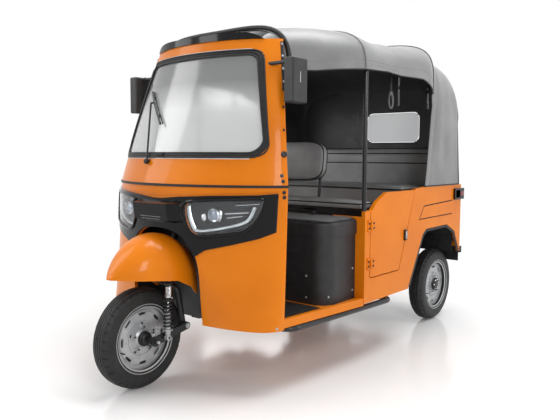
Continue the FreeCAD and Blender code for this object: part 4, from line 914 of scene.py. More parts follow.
def make_cushions():
    pads = {node: loose_copy(node) for node in ("passenger_cushion", "passenger_backrest")}
    blow_up(list(pads.values()))
    seams = Build()
    for node, *plan in (("driver_cushion", 14, 0.45, 0.006, 0.002, True),
                        ("driver_backrest", 4.2, 0.5, 0.004, 0.012, False)):
        pads[node], edges = make_pad(node, *plan)
        for edge in edges:
            seams.bar(edge + edge[:1], PIPE)
    for node, made in pads.items():
        low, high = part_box(node)
        made.data.update()
        if node == "passenger_cushion":
            swell(made, low, high, 2, 1, 0.01)
        elif node == "passenger_backrest":
            swell(made, low, high, 1, -1, 0.01)
        if node != "driver_backrest":
            flatten_foot(made, low[2])
        if node == "passenger_cushion":
            press_lines(made, [((x, low[1] - 0.01, high[2]), (x, high[1] + 0.01, high[2])) for x in (-0.2, 0.2)],
                        0.005, 0.011)
        elif node == "passenger_backrest":
            press_lines(made, [((-0.61, low[1], z), (0.61, low[1], z)) for z in BACK_SEAMS], 0.006, 0.01)
        creases(made, CREASE, low[0])
        made.data.update()
        if node == "passenger_cushion":
            for level, inset in ((high[2] - 0.012, 0.01), (low[2] + 0.016, 0.004)):
                outline = round_box((low[0] + inset, low[1] + inset), (high[0] - inset, high[1] - inset), 0.03, 3)
                seams.bar(hugging(made, [Vector((x, y, level)) for x, y in outline], 0.0012), PIPE)
        elif node == "passenger_backrest":
            for share in (0.07, 0.93):
                seams.bar(hugging(made, back_loop(made, share), 0.001), 0.0045)
            for z in BACK_SEAMS:
                line = [(x / 10 * 0.585, low[1] - 0.004, z) for x in range(-10, 11)]
                seams.bar(hugging(made, line, 0.0, 4, False), 0.004)
        made.data.materials.clear()
        made.data.materials.append(VINYL)
        made.data.shade_smooth()
        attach(made, "chassis")
        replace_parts(made, node)
    seams.piece("seat_piping", "seat_vinyl", PIPING)


make_cushions()


# Fabric roof and hood

# Section at each y: half width, height of the spring line, height of the crown, power of the curve.
HOOD_FRONT = (0.645, 0.703, 1.45, 1.832, 5.5)
ROOF_STATIONS = [(-0.702, 0.458, 1.45, 1.73, 6.0), (-0.52, 0.458, 1.45, 1.772, 4.6),
                 (-0.4, 0.56, 1.45, 1.8, 4.3), (-0.085, 0.668, 1.45, 1.816, 5.0),
                 (0.3, 0.672, 1.45, 1.804, 5.0), HOOD_FRONT]
HOOD_STATIONS = [HOOD_FRONT, (0.8, 0.7, 1.44, 1.808, 3.7), (1.0, 0.675, 1.42, 1.75, 4.2),
                 (1.1, 0.662, 1.4, 1.692, 4.0), (1.165, 0.642, 1.36, 1.612, 4.0)]
ROOF_EDGE = [(-0.52, 1.552), (-0.4, 1.55), (-0.092, 1.584), (0.139, 1.595), (0.462, 1.58), (0.646, 1.514)]
BOW_PLACES = (-0.52, -0.046, 0.3, 0.625)
ROOF_PLACES = [-0.519, -0.5, -0.48, -0.46] + [round(-0.44 + 0.0125 * k, 4) for k in range(87)] + [0.6445]
HOOD_PLACES = [round(0.6475 + 0.0125 * k, 4) for k in range(41)] + [1.152, 1.158, 1.1635]
FLAP_PLACES = (-0.518, -0.508, -0.498, -0.488, -0.478, -0.468, -0.461)
FLAP_TOP, FLAP_FOOT = 1.56, 1.412
ROOF_SEAM, ROOF_REAR = -0.085, 0.64
SAG, RIPPLE, SEAM_LIFT, HEM_POINTS = 0.007, 0.0016, 0.0012, 4
ROOF_AXIS, HOOD_LOW, HOOD_BACK = 1.5, 0.944, 1.163
ROOF_POINTS, HOOD_POINTS = 132, 150
FABRIC = 0.004
# Gap of the stitches, radius of the thread, and how far it stands off at a stitch's ends and middle.
STITCH_GAP, THREAD_RADIUS, STITCH_END, STITCH_MIDDLE = 0.0055, 0.0007, 0.0006, 0.0014
WINDOW_CORNER = 0.05


def between(table, place):
    """Row of a table at a place, straight between its rows."""
    for before, after in zip(table, table[1:]):
        if place <= after[0] or after is table[-1]:
            share = (place - before[0]) / (after[0] - before[0])
            return [a + (b - a) * share for a, b in zip(before, after)]


def section_points(place, half, spring, crown, power, low, count):
    """Points of a cross section from one lower edge over the top to the other, evenly spaced."""
    line = []
    first = 0.0
    if low < spring:
        line += [(half, low + (spring - low) * step / 40) for step in range(40)]
    else:
        first = math.asin(min(1.0, ((low - spring) / (crown - spring)) ** (power / 2)))
    for step in range(241):
        angle = first + (math.pi / 2 - first) * step / 240
        line.append((half * math.cos(angle) ** (2 / power) if step < 240 else 0.0,
                     spring + (crown - spring) * math.sin(angle) ** (2 / power)))
    line = np.array(line)
    total = np.concatenate([[0], np.cumsum(np.linalg.norm(np.diff(line, axis=0), axis=1))])
    marks = np.linspace(0, total[-1], count // 2 + 1)
    left = [Vector((x, place, z)) for x, z in zip(*(np.interp(marks, total, line[:, k]) for k in (0, 1)))]
    return left + [Vector((-point.x, place, point.z)) for point in left[-2::-1]]


def lay_on(tree, points):
    """Moves a row of points onto the model's own skin and returns them with their outward ways."""
    laid = []
    ways = []
    for index, point in enumerate(points):
        along = points[min(index + 1, len(points) - 1)] - points[max(index - 1, 0)]
        out = Vector((along.z, 0, -along.x)).normalized()
        place, _ = struck(tree, point + out * 0.09, -out)
        laid.append(place if place is not None and (place - point).length < 0.045 else point)
        ways.append(out)
    return laid, ways


def laid_rows(node, places, stations, edge, count, lift):
    """Rows of a sheet on a solid's skin, each point lifted by lift(place, point, out, steps from the edge)."""
    tree = skin_of(node)
    rows = []
    ways = []
    for place in places:
        laid, outs = lay_on(tree, section_points(place, *between(stations, place)[1:], edge(place), count))
        rows.append([point + out * lift(place, point, out, min(index, len(laid) - 1 - index))
                     for index, (point, out) in enumerate(zip(laid, outs))])
        ways.append(outs)
    return rows, ways


def sheet_shape(rows, ways, skip=None):
    """Thin cloth from rows of its outer side: points, outer faces, lining and edges."""
    inner = [[point - out * FABRIC for point, out in zip(row, outs)] for row, outs in zip(rows, ways)]
    count = len(rows[0])
    kept = {(a, b): None for a in range(len(rows) - 1) for b in range(count - 1) if not (skip and skip(a, b))}
    points = [point for row in rows + inner for point in row]
    shift = len(rows) * count
    top = []
    under = []
    rim = []
    for a, b in kept:
        corners = (a * count + b, a * count + b + 1, (a + 1) * count + b + 1, (a + 1) * count + b)
        top.append(corners)
        under.append(tuple(index + shift for index in corners[::-1]))
        for side, neighbour in enumerate(((a - 1, b), (a, b + 1), (a + 1, b), (a, b - 1))):
            if neighbour not in kept:
                start, end = corners[side], corners[(side + 1) % 4]
                rim.append((end, start, start + shift, end + shift))
    return points, top, under, rim


def cloth_piece(name, node, shape, *finishes, front=0):
    """Piece of cloth; the last finish is the lining's and the second is that of the first faces in front."""
    points, top, under, rim = shape
    cloth = Build()
    cloth.points, cloth.faces = points, top + under + rim
    cloth.marks = [1] * front + [0] * (len(top) - front) + [len(finishes) - 1] * len(under) + [0] * len(rim)
    piece = cloth.piece(name, "canopy_fabric", *finishes, sharp=60, straighten=False)
    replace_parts(piece, node)
    return piece


def bump_at(value, middle, width):
    return math.exp(-((value - middle) / width) ** 2)


def ripple(point, scale):
    return noise.noise(Vector((point.x * scale, point.y * scale * 0.45, point.z * scale))) * RIPPLE


def sagged(place, out):
    """How far the cloth hangs between two bows at a place along the roof."""
    for before, after in zip(BOW_PLACES, BOW_PLACES[1:]):
        if before <= place <= after:
            t = (place - before) / (after - before)
            return SAG * 4 * t * (1 - t) * max(0.0, out.z)
    return 0.0


def lift_roof(place, point, out, from_edge):
    """Raised seam, hem and ripples between the bows, less the sag."""
    seam = SEAM_LIFT * bump_at(place, ROOF_SEAM, 0.012)
    hem = SEAM_LIFT if from_edge < HEM_POINTS else 0.0
    wave = ripple(point, 7) * (1 - math.exp(-(min(abs(place - bow) for bow in BOW_PLACES) / 0.05) ** 2))
    return seam + hem + wave - sagged(place, out)


def lift_hood(place, point, out, from_edge):
    """Folds and a pleat on the flanks, a drawn band over the top, ripples all over."""
    flank = 1 - max(0.0, out.z)
    fold = 0.0035 * math.sin(place * 34 + point.z * 5) * flank * bump_at(point.z, 1.3, 0.3)
    pleat = 0.004 * bump_at(place, 0.7, 0.012) * flank
    drawn = -0.003 * bump_at(place, 0.86, 0.1) * max(0.0, out.z)
    return fold * 0.6 + drawn - pleat + ripple(point, 8)


def evenly(line, gap):
    """The same line with its points a given distance apart."""
    total = np.cumsum([0.0] + [(end - start).length for start, end in zip(line, line[1:])])
    spots = np.array([tuple(point) for point in line])
    return [Vector([np.interp(mark, total, spots[:, k]) for k in range(3)]) for mark in np.arange(0, total[-1], gap)]


def stitch(build, line, mark, way=None):
    """Row of short stitches along a line; without a way they stand off the roof's middle."""
    line = evenly(line, STITCH_GAP)
    for start, end in zip(line[::2], line[1::2]):
        out = way or (start - Vector((0, start.y, ROOF_AXIS))).normalized()
        run = end - start
        if run.length >= 1e-5:
            build.bar([start + run * share + out * stand for share, stand in (
                (0.1, STITCH_END), (0.5, STITCH_MIDDLE), (0.9, STITCH_END))], THREAD_RADIUS, 4, mark)


def make_roof():
    rows, ways = laid_rows("canopy_roof", ROOF_PLACES, ROOF_STATIONS, lambda place: between(ROOF_EDGE, place)[1],
                           ROOF_POINTS, lift_roof)
    seam_row = next(index for index, place in enumerate(ROOF_PLACES) if place > ROOF_SEAM)
    # The faces ahead of the seam take the darker canvas, painted shade.
    piece = cloth_piece("roof_canvas", "canopy_roof", sheet_shape(rows, ways), ROOF, ROOF_FRONT_PAINTED_SHADE, LINING,
                        front=seam_row * (len(rows[0]) - 1))

    def nearest(place):
        return min(range(len(ROOF_PLACES)), key=lambda k: abs(ROOF_PLACES[k] - place))

    def raised(at, height):
        return [point + out * height for point, out in zip(rows[at], ways[at])]

    trim = Build()
    for index in (0, -1):
        trim.bar([row[index] - out[index] * 0.002 for row, out in zip(rows, ways)], PIPE)
    trim.bar(raised(nearest(ROOF_SEAM), 0.0015), 0.003, 8, 1)
    trim.bar(raised(nearest(ROOF_REAR), 0.0015), 0.005)
    trim.bar(raised(1, 0.009), 0.012, 12)
    for shift in (-0.012, 0.012):
        stitch(trim, rows[nearest(ROOF_SEAM + shift)], 2)
    for column in (HEM_POINTS, -1 - HEM_POINTS):
        stitch(trim, [row[column] for row in rows], 2)
    trim.piece("roof_seams", "canopy_fabric", PIPING, ROOF_FRONT_PAINTED_SHADE, THREAD)


def make_corner_flaps():
    """Grey flap that hangs from the roof's front corner to the windscreen surround, a side each."""
    tree = skin_of("canopy_roof")
    flaps = Build()
    for side in (1, -1):
        way = LEFT * side
        rows = []
        for place in FLAP_PLACES:
            line = []
            for step in range(15):
                z = FLAP_TOP - (FLAP_TOP - FLAP_FOOT) * step / 14
                spot, _ = struck(tree, (side * ASIDE, place, z), -way)
                if spot is None or abs(spot.x) < 0.3:
                    spot = line[-1] - Vector((0, 0, 0.0105)) if line else Vector((side * 0.455, place, z))
                line.append(spot + way * (0.002 * math.sin((place + 0.52) * 95 + z * 12)))
            rows.append(line)
        points, *faces = sheet_shape(rows, [[way] * 15] * len(rows))
        flaps.add((points, sum(faces, [])))
    piece = flaps.piece("roof_corner_flaps", "canopy_fabric", ROOF_LIGHT, sharp=60)
    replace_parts(piece, "canopy_roof")


def make_hood():
    """Hood over the passengers with its back panel and the film of the rear window."""
    rows, ways = laid_rows("canopy_hood", HOOD_PLACES, HOOD_STATIONS, lambda place: HOOD_LOW, HOOD_POINTS, lift_hood)
    piece = cloth_piece("hood_canvas", "canopy_hood", sheet_shape(rows, ways), ROOF, LINING)
    back = make_back_panel(rows[-1])
    low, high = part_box("rear_window")

    def window_line(grow, stand):
        outline = round_box((low[0] - grow, low[2] - grow), (high[0] + grow, high[2] + grow), WINDOW_CORNER + grow, 6)
        return [Vector((x, back(x, z) + stand, z)) for x, z in outline]

    trim = Build()
    trim.bar([point + Vector((0, 0.001, 0)) for point in rows[-1]], 0.0048)
    for index in (0, -1):
        trim.bar([row[index] for row in rows], 0.0045)
    line = window_line(0.006, 0.001)
    trim.bar(line + line[:1], 0.0075, flat=0.45)
    for grow in (0.01, 0.022):
        stitch(trim, window_line(grow, 0.002), 1, BACK)
    trim.piece("hood_seams", "canopy_fabric", PIPING, THREAD)
    outer = window_line(-0.004, -0.0008)
    rings = [[point - Vector((0, 0.0012, 0)) for point in outer], outer]
    centre = sum(outer, Vector()) / len(outer)
    for share in (0.75, 0.5, 0.25):
        rings.append([centre + (point - centre) * share + Vector((0, 0.0012 * math.sin(share * 9 + point.x * 20), 0))
                      for point in outer])
    pane = Build()
    pane.add(strip(rings, capped=True))
    film = pane.piece("window_film", "clear_film", FILM, sharp=50)
    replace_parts(film, "rear_window")


def make_back_panel(rim_row):
    """Rear sheet inside the hood's last section, with the window cut out of it; returns its depth at (x, z)."""
    crown = max(point.z for point in rim_row)
    low = min(point.z for point in rim_row)
    heights, widths = zip(*((point.z, point.x) for point in rim_row if point.x >= 0))
    window_low, window_high = ([corner[0], corner[2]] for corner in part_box("rear_window"))

    def reach_at(z):
        return float(np.interp(z, heights, widths))

    def depth(x, z):
        across = min(1.0, abs(x) / max(reach_at(z), 1e-6))
        bulge = 0.004 * (1 - across ** 2) * max(0.0, math.sin(math.pi * min(1, (z - low) / (crown - low))))
        return HOOD_BACK - 0.002 + bulge + 0.0012 * noise.noise(Vector((x * 6, 3.1, z * 4)))

    levels = sorted({*np.linspace(low, crown - 0.0005, 62), window_low[1], window_high[1]})
    rows = []
    for z in levels:
        xs = np.concatenate([np.linspace(-reach_at(z), window_low[0], 31)[:-1],
                             np.linspace(window_low[0], window_high[0], 25),
                             np.linspace(window_high[0], reach_at(z), 15)[1:]])
        rows.append([Vector((x, depth(x, z), z)) for x in xs])

    def in_window(a, b):
        spot = ((rows[a][b].x + rows[a][b + 1].x) / 2, (levels[a] + levels[a + 1]) / 2)
        past = [max(abs(at - (start + end) / 2) - (end - start) / 2 + WINDOW_CORNER, 0)
                for at, start, end in zip(spot, window_low, window_high)]
        return math.hypot(*past) < WINDOW_CORNER

    shape = sheet_shape(rows, [[BACK] * len(rows[0])] * len(rows), in_window)
    piece = cloth_piece("hood_back_canvas", "canopy_hood", shape, ROOF, LINING)
    return depth


make_roof()
make_corner_flaps()
make_hood()


# Lamps, mask, windscreen and wiper

LAMP_CORNERS = [(0.177, 0.885), (0.179, 0.837), (0.205, 0.772), (0.247, 0.747), (0.309, 0.749), (0.424, 0.765),
                (0.476, 0.783), (0.517, 0.847), (0.534, 0.903), (0.526, 0.93), (0.42, 0.927), (0.258, 0.918),
                (0.194, 0.907)]
LAMP_MIDDLE = [sum(corner[k] for corner in LAMP_CORNERS) / len(LAMP_CORNERS) for k in (0, 1)]
LAMP_RING = flowing(LAMP_CORNERS, 4, True)
LAMP_BOWL = ((1.004, 0.0075), (0.972, 0.013), (0.955, 0.02), (0.93, 0.032), (0.86, 0.044), (0.74, 0.05),
             (0.5, 0.053), (0.25, 0.054))
LIGHT_GUIDE = [(0.186, 0.891), (0.196, 0.837), (0.215, 0.791), (0.239, 0.77), (0.323, 0.779), (0.423, 0.804),
               (0.471, 0.832), (0.493, 0.888)]
LAMP_BROW = ((0.205, 0.902), (0.3, 0.908), (0.42, 0.912), (0.5, 0.914))
# Start, end and radius of each bright bar beside the lens.
LAMP_BARS = (((0.362, 0.857), (0.463, 0.865), 0.0065), ((0.409, 0.896), (0.505, 0.905), 0.004),
             ((0.372, 0.836), (0.44, 0.846), 0.004))
SCREEN_FOOT, SCREEN_TOP = (0.532, 1.118), (0.401, 1.645)
COWL_LIP = ((-0.58, 0.962), (-0.5, 0.957), (-0.32, 0.951), (-0.16, 0.944), (0, 0.938), (0.16, 0.944), (0.32, 0.951),
            (0.5, 0.957), (0.58, 0.962))


def make_lamps():
    """Bowl, light guide, projector and bright bars behind each lens, and the trim of the mask."""
    for side, label in BOTH_SIDES:
        def behind(x, z, back):
            return on_front(side * x, z) + Vector((0, back, 0))

        lamp = Build()
        rows = [[behind(LAMP_MIDDLE[0] + (point.x - LAMP_MIDDLE[0]) * scale,
                        LAMP_MIDDLE[1] + (point.z - LAMP_MIDDLE[1]) * scale, back) for point in LAMP_RING[:-1]]
                for scale, back in LAMP_BOWL]
        points, faces = strip(rows)
        lamp.add((points, faces + [tuple(range(len(points) - len(rows[0]), len(points)))]))
        guide = flowing([behind(x, z, 0.02) for x, z in LIGHT_GUIDE])
        lamp.bar(guide, 0.006, 10, 1, 0.6)
        lamp.bar([point + Vector((0, 0.008, 0)) for point in guide], 0.008, 10, 2, 0.5)
        lamp.bar(flowing([behind(x, z, 0.028) for x, z in LAMP_BROW], 5), 0.003)
        seat = behind(0.313, 0.848, 0.05)
        lamp.disc([(0, 0.04), (0.006, 0.04), (0.01, 0.037)], seat, FORWARD, 36, 2)
        lamp.ring([(0.01, 0.037), (0.024, 0.0345), (0.026, 0.0325), (0.023, 0.031), (0.01, 0.031)], seat,
                  FORWARD, 40, 2)
        lamp.disc([(0.01, 0.027), (0.015, 0.0265), (0.02, 0.0235), (0.024, 0.0175), (0.0262, 0.009),
                   (0.0268, 0.002)], seat, FORWARD, 32, 3)
        for start, end, wide in LAMP_BARS:
            lamp.bar([behind(*(a + (b - a) * t / 6 for a, b in zip(start, end)), 0.036) for t in range(7)],
                     wide, 8, 2, 0.6)
        lamp.disc([(0, 0.02), (0.004, 0.02), (0.01, 0.012), (0.012, 0.004)], behind(0.25, 0.835, 0.048),
                  FORWARD, 24, 2)
        lamp.piece("headlamp_inside_" + label, "gloss_black", GLOSS, GUIDE, CHROME, BULB)
    mask = Build()
    for side in (1, -1):
        mask.bar([on_front(side * point.x, point.z, 0.0008) for point in LAMP_RING], 0.0085, 10)
    for half, z in ((0.075, 0.832), (0.068, 0.82), (0.06, 0.808)):
        mask.bar([on_front(x, z, 0.0005) for x in np.linspace(-half, half, 13)], 0.0018, 8, 1, 0.7)
    mask.piece("mask_trim", "gloss_black", GLOSS, GREY)


def rounded(corners, radius, steps=6):
    """Closed outline through (x, z) corners with rounded turns."""
    out = []
    count = len(corners)
    for index in range(count):
        before, corner, after = (Vector(corners[(index + shift) % count]) for shift in (-1, 0, 1))
        to_before = (before - corner).normalized()
        to_after = (after - corner).normalized()
        reach = radius / math.tan(math.acos(max(-1, min(1, to_before.dot(to_after)))) / 2)
        for t in (step / steps for step in range(steps + 1)):
            out.append((corner + to_before * reach) * (1 - t) ** 2 + corner * 2 * t * (1 - t)
                       + (corner + to_after * reach) * t ** 2)
    return out


def screen_ring(inset, radius):
    """Outline of the windscreen as (x, z), drawn in, with points close enough to follow the curve."""
    foot, top = (SCREEN_FOOT[0] - inset, SCREEN_FOOT[1] + inset), (SCREEN_TOP[0] - inset, SCREEN_TOP[1] - inset)
    ring = rounded([foot, top, (-top[0], top[1]), (-foot[0], foot[1])], radius)
    dense = []
    for point, after in zip(ring, ring[1:] + ring[:1]):
        parts = max(1, int((after - point).length / 0.035))
        dense += [point + (after - point) * part / parts for part in range(parts)]
    return dense


def make_screen_trim():
    """Lips of the windscreen's rubber, pale lines painted as highlights along its foot, right-hand edge and top, the
    block on its foot and the cowl's crease.
    """
    trim = Build()
    for inset, radius, wide in ((0.0015, 0.068, 0.0042), (0.0125, 0.062, 0.003), (0.024, 0.055, 0.0034)):
        ring = over_front(screen_ring(inset, radius), 0.0006)
        trim.bar(ring + ring[:1], wide)
    # Pale lines along the screen's foot, right-hand edge and top: painted highlights.
    trim.bar([on_front(x, 1.1135, 0.0012) for x in np.linspace(-0.47, 0.45, 40)], 0.0022, 8, 1)
    trim.bar([on_front(-0.4 - 0.132 * (1.645 - z) / 0.527 - 0.006, z, 0.001) for z in np.linspace(1.16, 1.6, 30)],
             0.002, 8, 1)
    trim.bar([on_front(x, 1.6495, 0.001) for x in np.linspace(-0.345, 0.345, 30)], 0.0018, 8, 1)
    spot = on_front(-0.045, 1.131, 0.004)
    trim.block(spot - Vector((0.022, 0.006, 0.008)), spot + Vector((0.022, 0.006, 0.01)), 0.003)
    trim.piece("screen_rubber_lips", "black_rubber", RUBBER, PALE_PRINT_AND_PAINTED_HIGHLIGHT)
    crease = Build()
    crease.bar(over_front(front_view(flowing(COWL_LIP, 5)), 0.0002), 0.0024, flat=0.6)
    crease.piece("cowl_crease", "orange_paint", ORANGE)


def make_wiper_details():
    """Cap, clips and rubber of the wiper."""
    wiper = Build()
    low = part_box("wiper")[0][2]
    pivot = middle_of("wiper", 2, low, low + 0.012)
    front = min(corner.co.y for corner in nodes["wiper"].data.vertices if corner.co.z < low + 0.03)
    wiper.disc([(-0.01, 0.0135), (0.002, 0.0135), (0.005, 0.011), (0.006, 0.006)], (pivot.x, front, 1.098),
               FORWARD, 24)
    line = over_front(((-0.29, 1.47), (-0.23, 1.41), (-0.17, 1.35), (-0.11, 1.29)), 0.0035)
    wiper.bar(flowing(line), 0.003, 8, 1, 0.5)
    for share in (0.22, 0.78):
        spot = on_front(-0.29 + 0.18 * share, 1.47 - 0.18 * share, 0.01)
        half = Vector((0.008, 0.004, 0.008))
        wiper.block(spot - half, spot + half, 0.002)
    wiper.piece("wiper_details", "black_metal", BLACK, RUBBER)


# Fittings on the sides and the tail

HINGE_LEVELS = (0.54, 0.75)
PILLAR_BOLTS, COWL_BOLTS = (1.672, 1.612, 1.548, 1.484, 1.36, 1.25), (0.935, 0.958, 1.01, 1.036)
STRIP_FOOT, STRIP_TOP = 1.44, 1.685
PANEL_LINE = [(1.08, 0.835), (0.652, 0.819), (0.594, 0.74), (1.078, 0.744)]
ARCH_LINE = [(0.466, 0.334), (0.646, 0.64), (0.696, 0.669), (0.85, 0.671), (1.002, 0.673), (1.13, 0.618),
             (1.222, 0.468)]
ARCH_MIDDLE = (0.88, 0.4)
LID_FACE = 1.2415
LID_FRAME = [(x, 1.2422, z) for x, z in ((-0.382, 0.578), (0.382, 0.578), (0.382, 0.842), (-0.382, 0.842),
                                         (-0.382, 0.578))]


def make_mirror_glass():
    """Mirror glass in its frame, the arm's knuckle and a pale strip painted as a glint; the right mirror sits further
    back.
    """
    glass = Build()
    for side, shift in ((1, 0.0), (-1, 0.04)):
        glass.block(*beside(side, (0.571, -0.546 + shift, 1.388), (0.619, -0.5438 + shift, 1.572)), 0.0008, 1)
        glass.block(*beside(side, (0.568, -0.547 + shift, 1.384), (0.622, -0.545 + shift, 1.576)), 0.0009, 1, 1)
        glass.disc([(0, 0.0125), (0.01, 0.0125), (0.013, 0.01)], (side * 0.552, -0.596 + shift, 1.573),
                   LEFT * side, 20, 1)
        # Thin pale strip on the mirror's outer side: a painted glint.
        glass.block(*beside(side, (0.6233, -0.604 + shift, 1.47), (0.6257, -0.601 + shift, 1.52)), 0.0005, 1, 2)
    glass.piece("mirror_glass", "black_plastic", MIRROR, PLASTIC, PALE_PRINT_AND_PAINTED_HIGHLIGHT)


def edge_place(z):
    """Rear edge of the windscreen surround at a height."""
    return -0.637 + (z - 1.144) / (1.7 - 1.144) * 0.121 if z > 1.144 else -0.664 + (z - 0.991) / 0.153 * 0.027


def make_side_fittings():
    """Bolts, strips and studs on the pillars and hinges, the same on both sides."""
    shell = skin_of("windscreen_surround", "front_cowl")
    for side, label in BOTH_SIDES:
        way = LEFT * side

        def on_side(y, z):
            return struck(shell, (side * ASIDE, y, z), -way)

        fixed = Build()
        line = [on_side(edge_place(z) - 0.012, z)[0] for z in np.linspace(STRIP_FOOT, STRIP_TOP, 14)]
        fixed.bar([spot + way * 0.002 for spot in line if spot is not None], 0.0075, flat=0.55)
        for z in PILLAR_BOLTS:
            spot, normal = on_side(edge_place(z) - 0.014, z)
            if spot is not None:
                on_strip = z > STRIP_FOOT
                fixed.bolt(spot + way * (0.005 if on_strip else 0), way, 0.005, 0.005, int(on_strip))
        for z in COWL_BOLTS:
            spot, normal = on_side(-0.684, z)
            if spot is not None:
                fixed.bolt(spot, normal, 0.0062, 0.006)
        spot, normal = on_side(edge_place(1.135) - 0.016, 1.135)
        if spot is not None:
            fixed.disc([(-0.002, 0.015), (0.006, 0.0145), (0.01, 0.011), (0.011, 0.006)], spot, normal, 24)
        spot, normal = on_side(-0.735, 0.322)
        if spot is not None:
            fixed.bolt(spot, normal, 0.0045, 0.004, 1)
        moved = Build()
        for build, x, y in ((fixed, 0.664, -0.021), (moved, 0.668, 0.022)):
            for level in HINGE_LEVELS:
                for shift in (-0.013, 0.013):
                    build.bolt((side * x, y, level + shift), way, 0.0046, 0.004)
        fixed.piece("side_bolts_" + label, "black_metal", BLACK, SILVER)
        moved.block(*beside(side, (0.6602, 0.3845, 0.63), (0.6725, 0.4135, 0.694)), 0.003)
        moved.block(*beside(side, (0.67, 0.39, 0.64), (0.676, 0.404, 0.684)), 0.002, 2, 1)
        moved.disc([(0, 0.005), (0.004, 0.005), (0.005, 0.0038)], (side * 0.6725, 0.408, 0.662), way, 14, 1)
        moved.piece("door_fittings_" + label, "black_metal", BLACK, SILVER, body=label + "_door")
        lines = Build()
        path = [Vector((side * 0.6568, y, z)) for y, z in PANEL_LINE]
        for start, end in zip(path, path[1:]):
            lines.bar([start, (start + end) / 2, end], 0.0034, flat=0.7)
        lines.piece("panel_lines_" + label, "black_rubber", RUBBER)


def make_tail():
    """Lenses of the tail lamps, linings and lips of the rear arches, lid louvres and handle."""
    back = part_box("tail_lamps")[1][1]
    lens = Build()
    for side in (1, -1):
        for start, end, mark in ((0.608, 0.63, 1), (0.632, 0.6665, 0)):
            lens.block(*beside(side, (start, back - 0.009, 0.844), (end, back + 0.0015, 0.908)), 0.004, 3, mark)
        low, high = beside(side, (0.6705, 1.192, 0.862), (0.675, back - 0.006, 0.89))
        lens.block(low, high, 0.002, 3)
        lens.block((low[0], 1.112, 0.848), (high[0] - 0.001, 1.186, 0.904), 0.0025, 3, 2)
    lens.piece("tail_lamp_lenses", "lamp_red", RED, AMBER, GLOSS)
    arch = Build()
    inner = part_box("rear_panel")[0][1]
    for side in (1, -1):
        arch.block(*beside(side, (0.4, inner - 0.0045, 0.47), (0.637, inner - 0.001, 0.6)), 0.001, 1)
        rows = []
        for line in ARCH_LINE:
            drawn = [middle + (at - middle) * 0.945 for at, middle in zip(line, ARCH_MIDDLE)]
            rows.append([Vector((side * x, *spot)) for x, spot in (
                (0.6588, line), (0.6588, drawn), (0.654, drawn), (0.654, line))])
        arch.add(strip(rows, capped=True))
    arch.piece("arch_linings", "black_rubber", RUBBER)
    lid = Build()
    for middle in (0.19, -0.19):
        for z in (0.62 + index * 0.027 for index in range(7)):
            rows = []
            for x in np.linspace(-0.12, 0.12, 17):
                rise = 0.0075 * (1 - abs(x / 0.12) ** 4)
                rows.append([Vector((middle + x, LID_FACE + rise * out, z + up)) for out, up in (
                    (0, -0.009), (0.35, -0.007), (1, 0.004), (0.9, 0.0065), (0, 0.0075))])
            lid.add(strip(rows, capped=True))
            # Black strip above each louvre: painted shade inside the vent slot.
            lid.block((middle - 0.105, LID_FACE - 0.0015, z + 0.0072), (middle + 0.105, LID_FACE + 0.0009, z + 0.0105),
                      0.0008, 1, 1)
    lid.disc([(0, 0.022), (0.004, 0.022), (0.007, 0.019)], (0, LID_FACE, 0.7), BACK, 28, 1)
    lid.block((-0.034, 1.248, 0.692), (0.034, 1.257, 0.708), 0.004, 2, 1)
    for start, end in zip(LID_FRAME, LID_FRAME[1:]):
        lid.bar([start, end], 0.0026, flat=0.6)
    lid.piece("lid_louvres", "orange_paint", ORANGE, BLACK, body="rear_lid")


# Cabin fittings and the engine

LID_COVER = ((-0.596, -0.336), (0.596, -0.336), (0.596, -0.066), (-0.596, -0.066))
DIAL_PLACE, DIAL_WAY = Vector((0, -0.8, 0.973)), Vector((0, 0.35, 1))


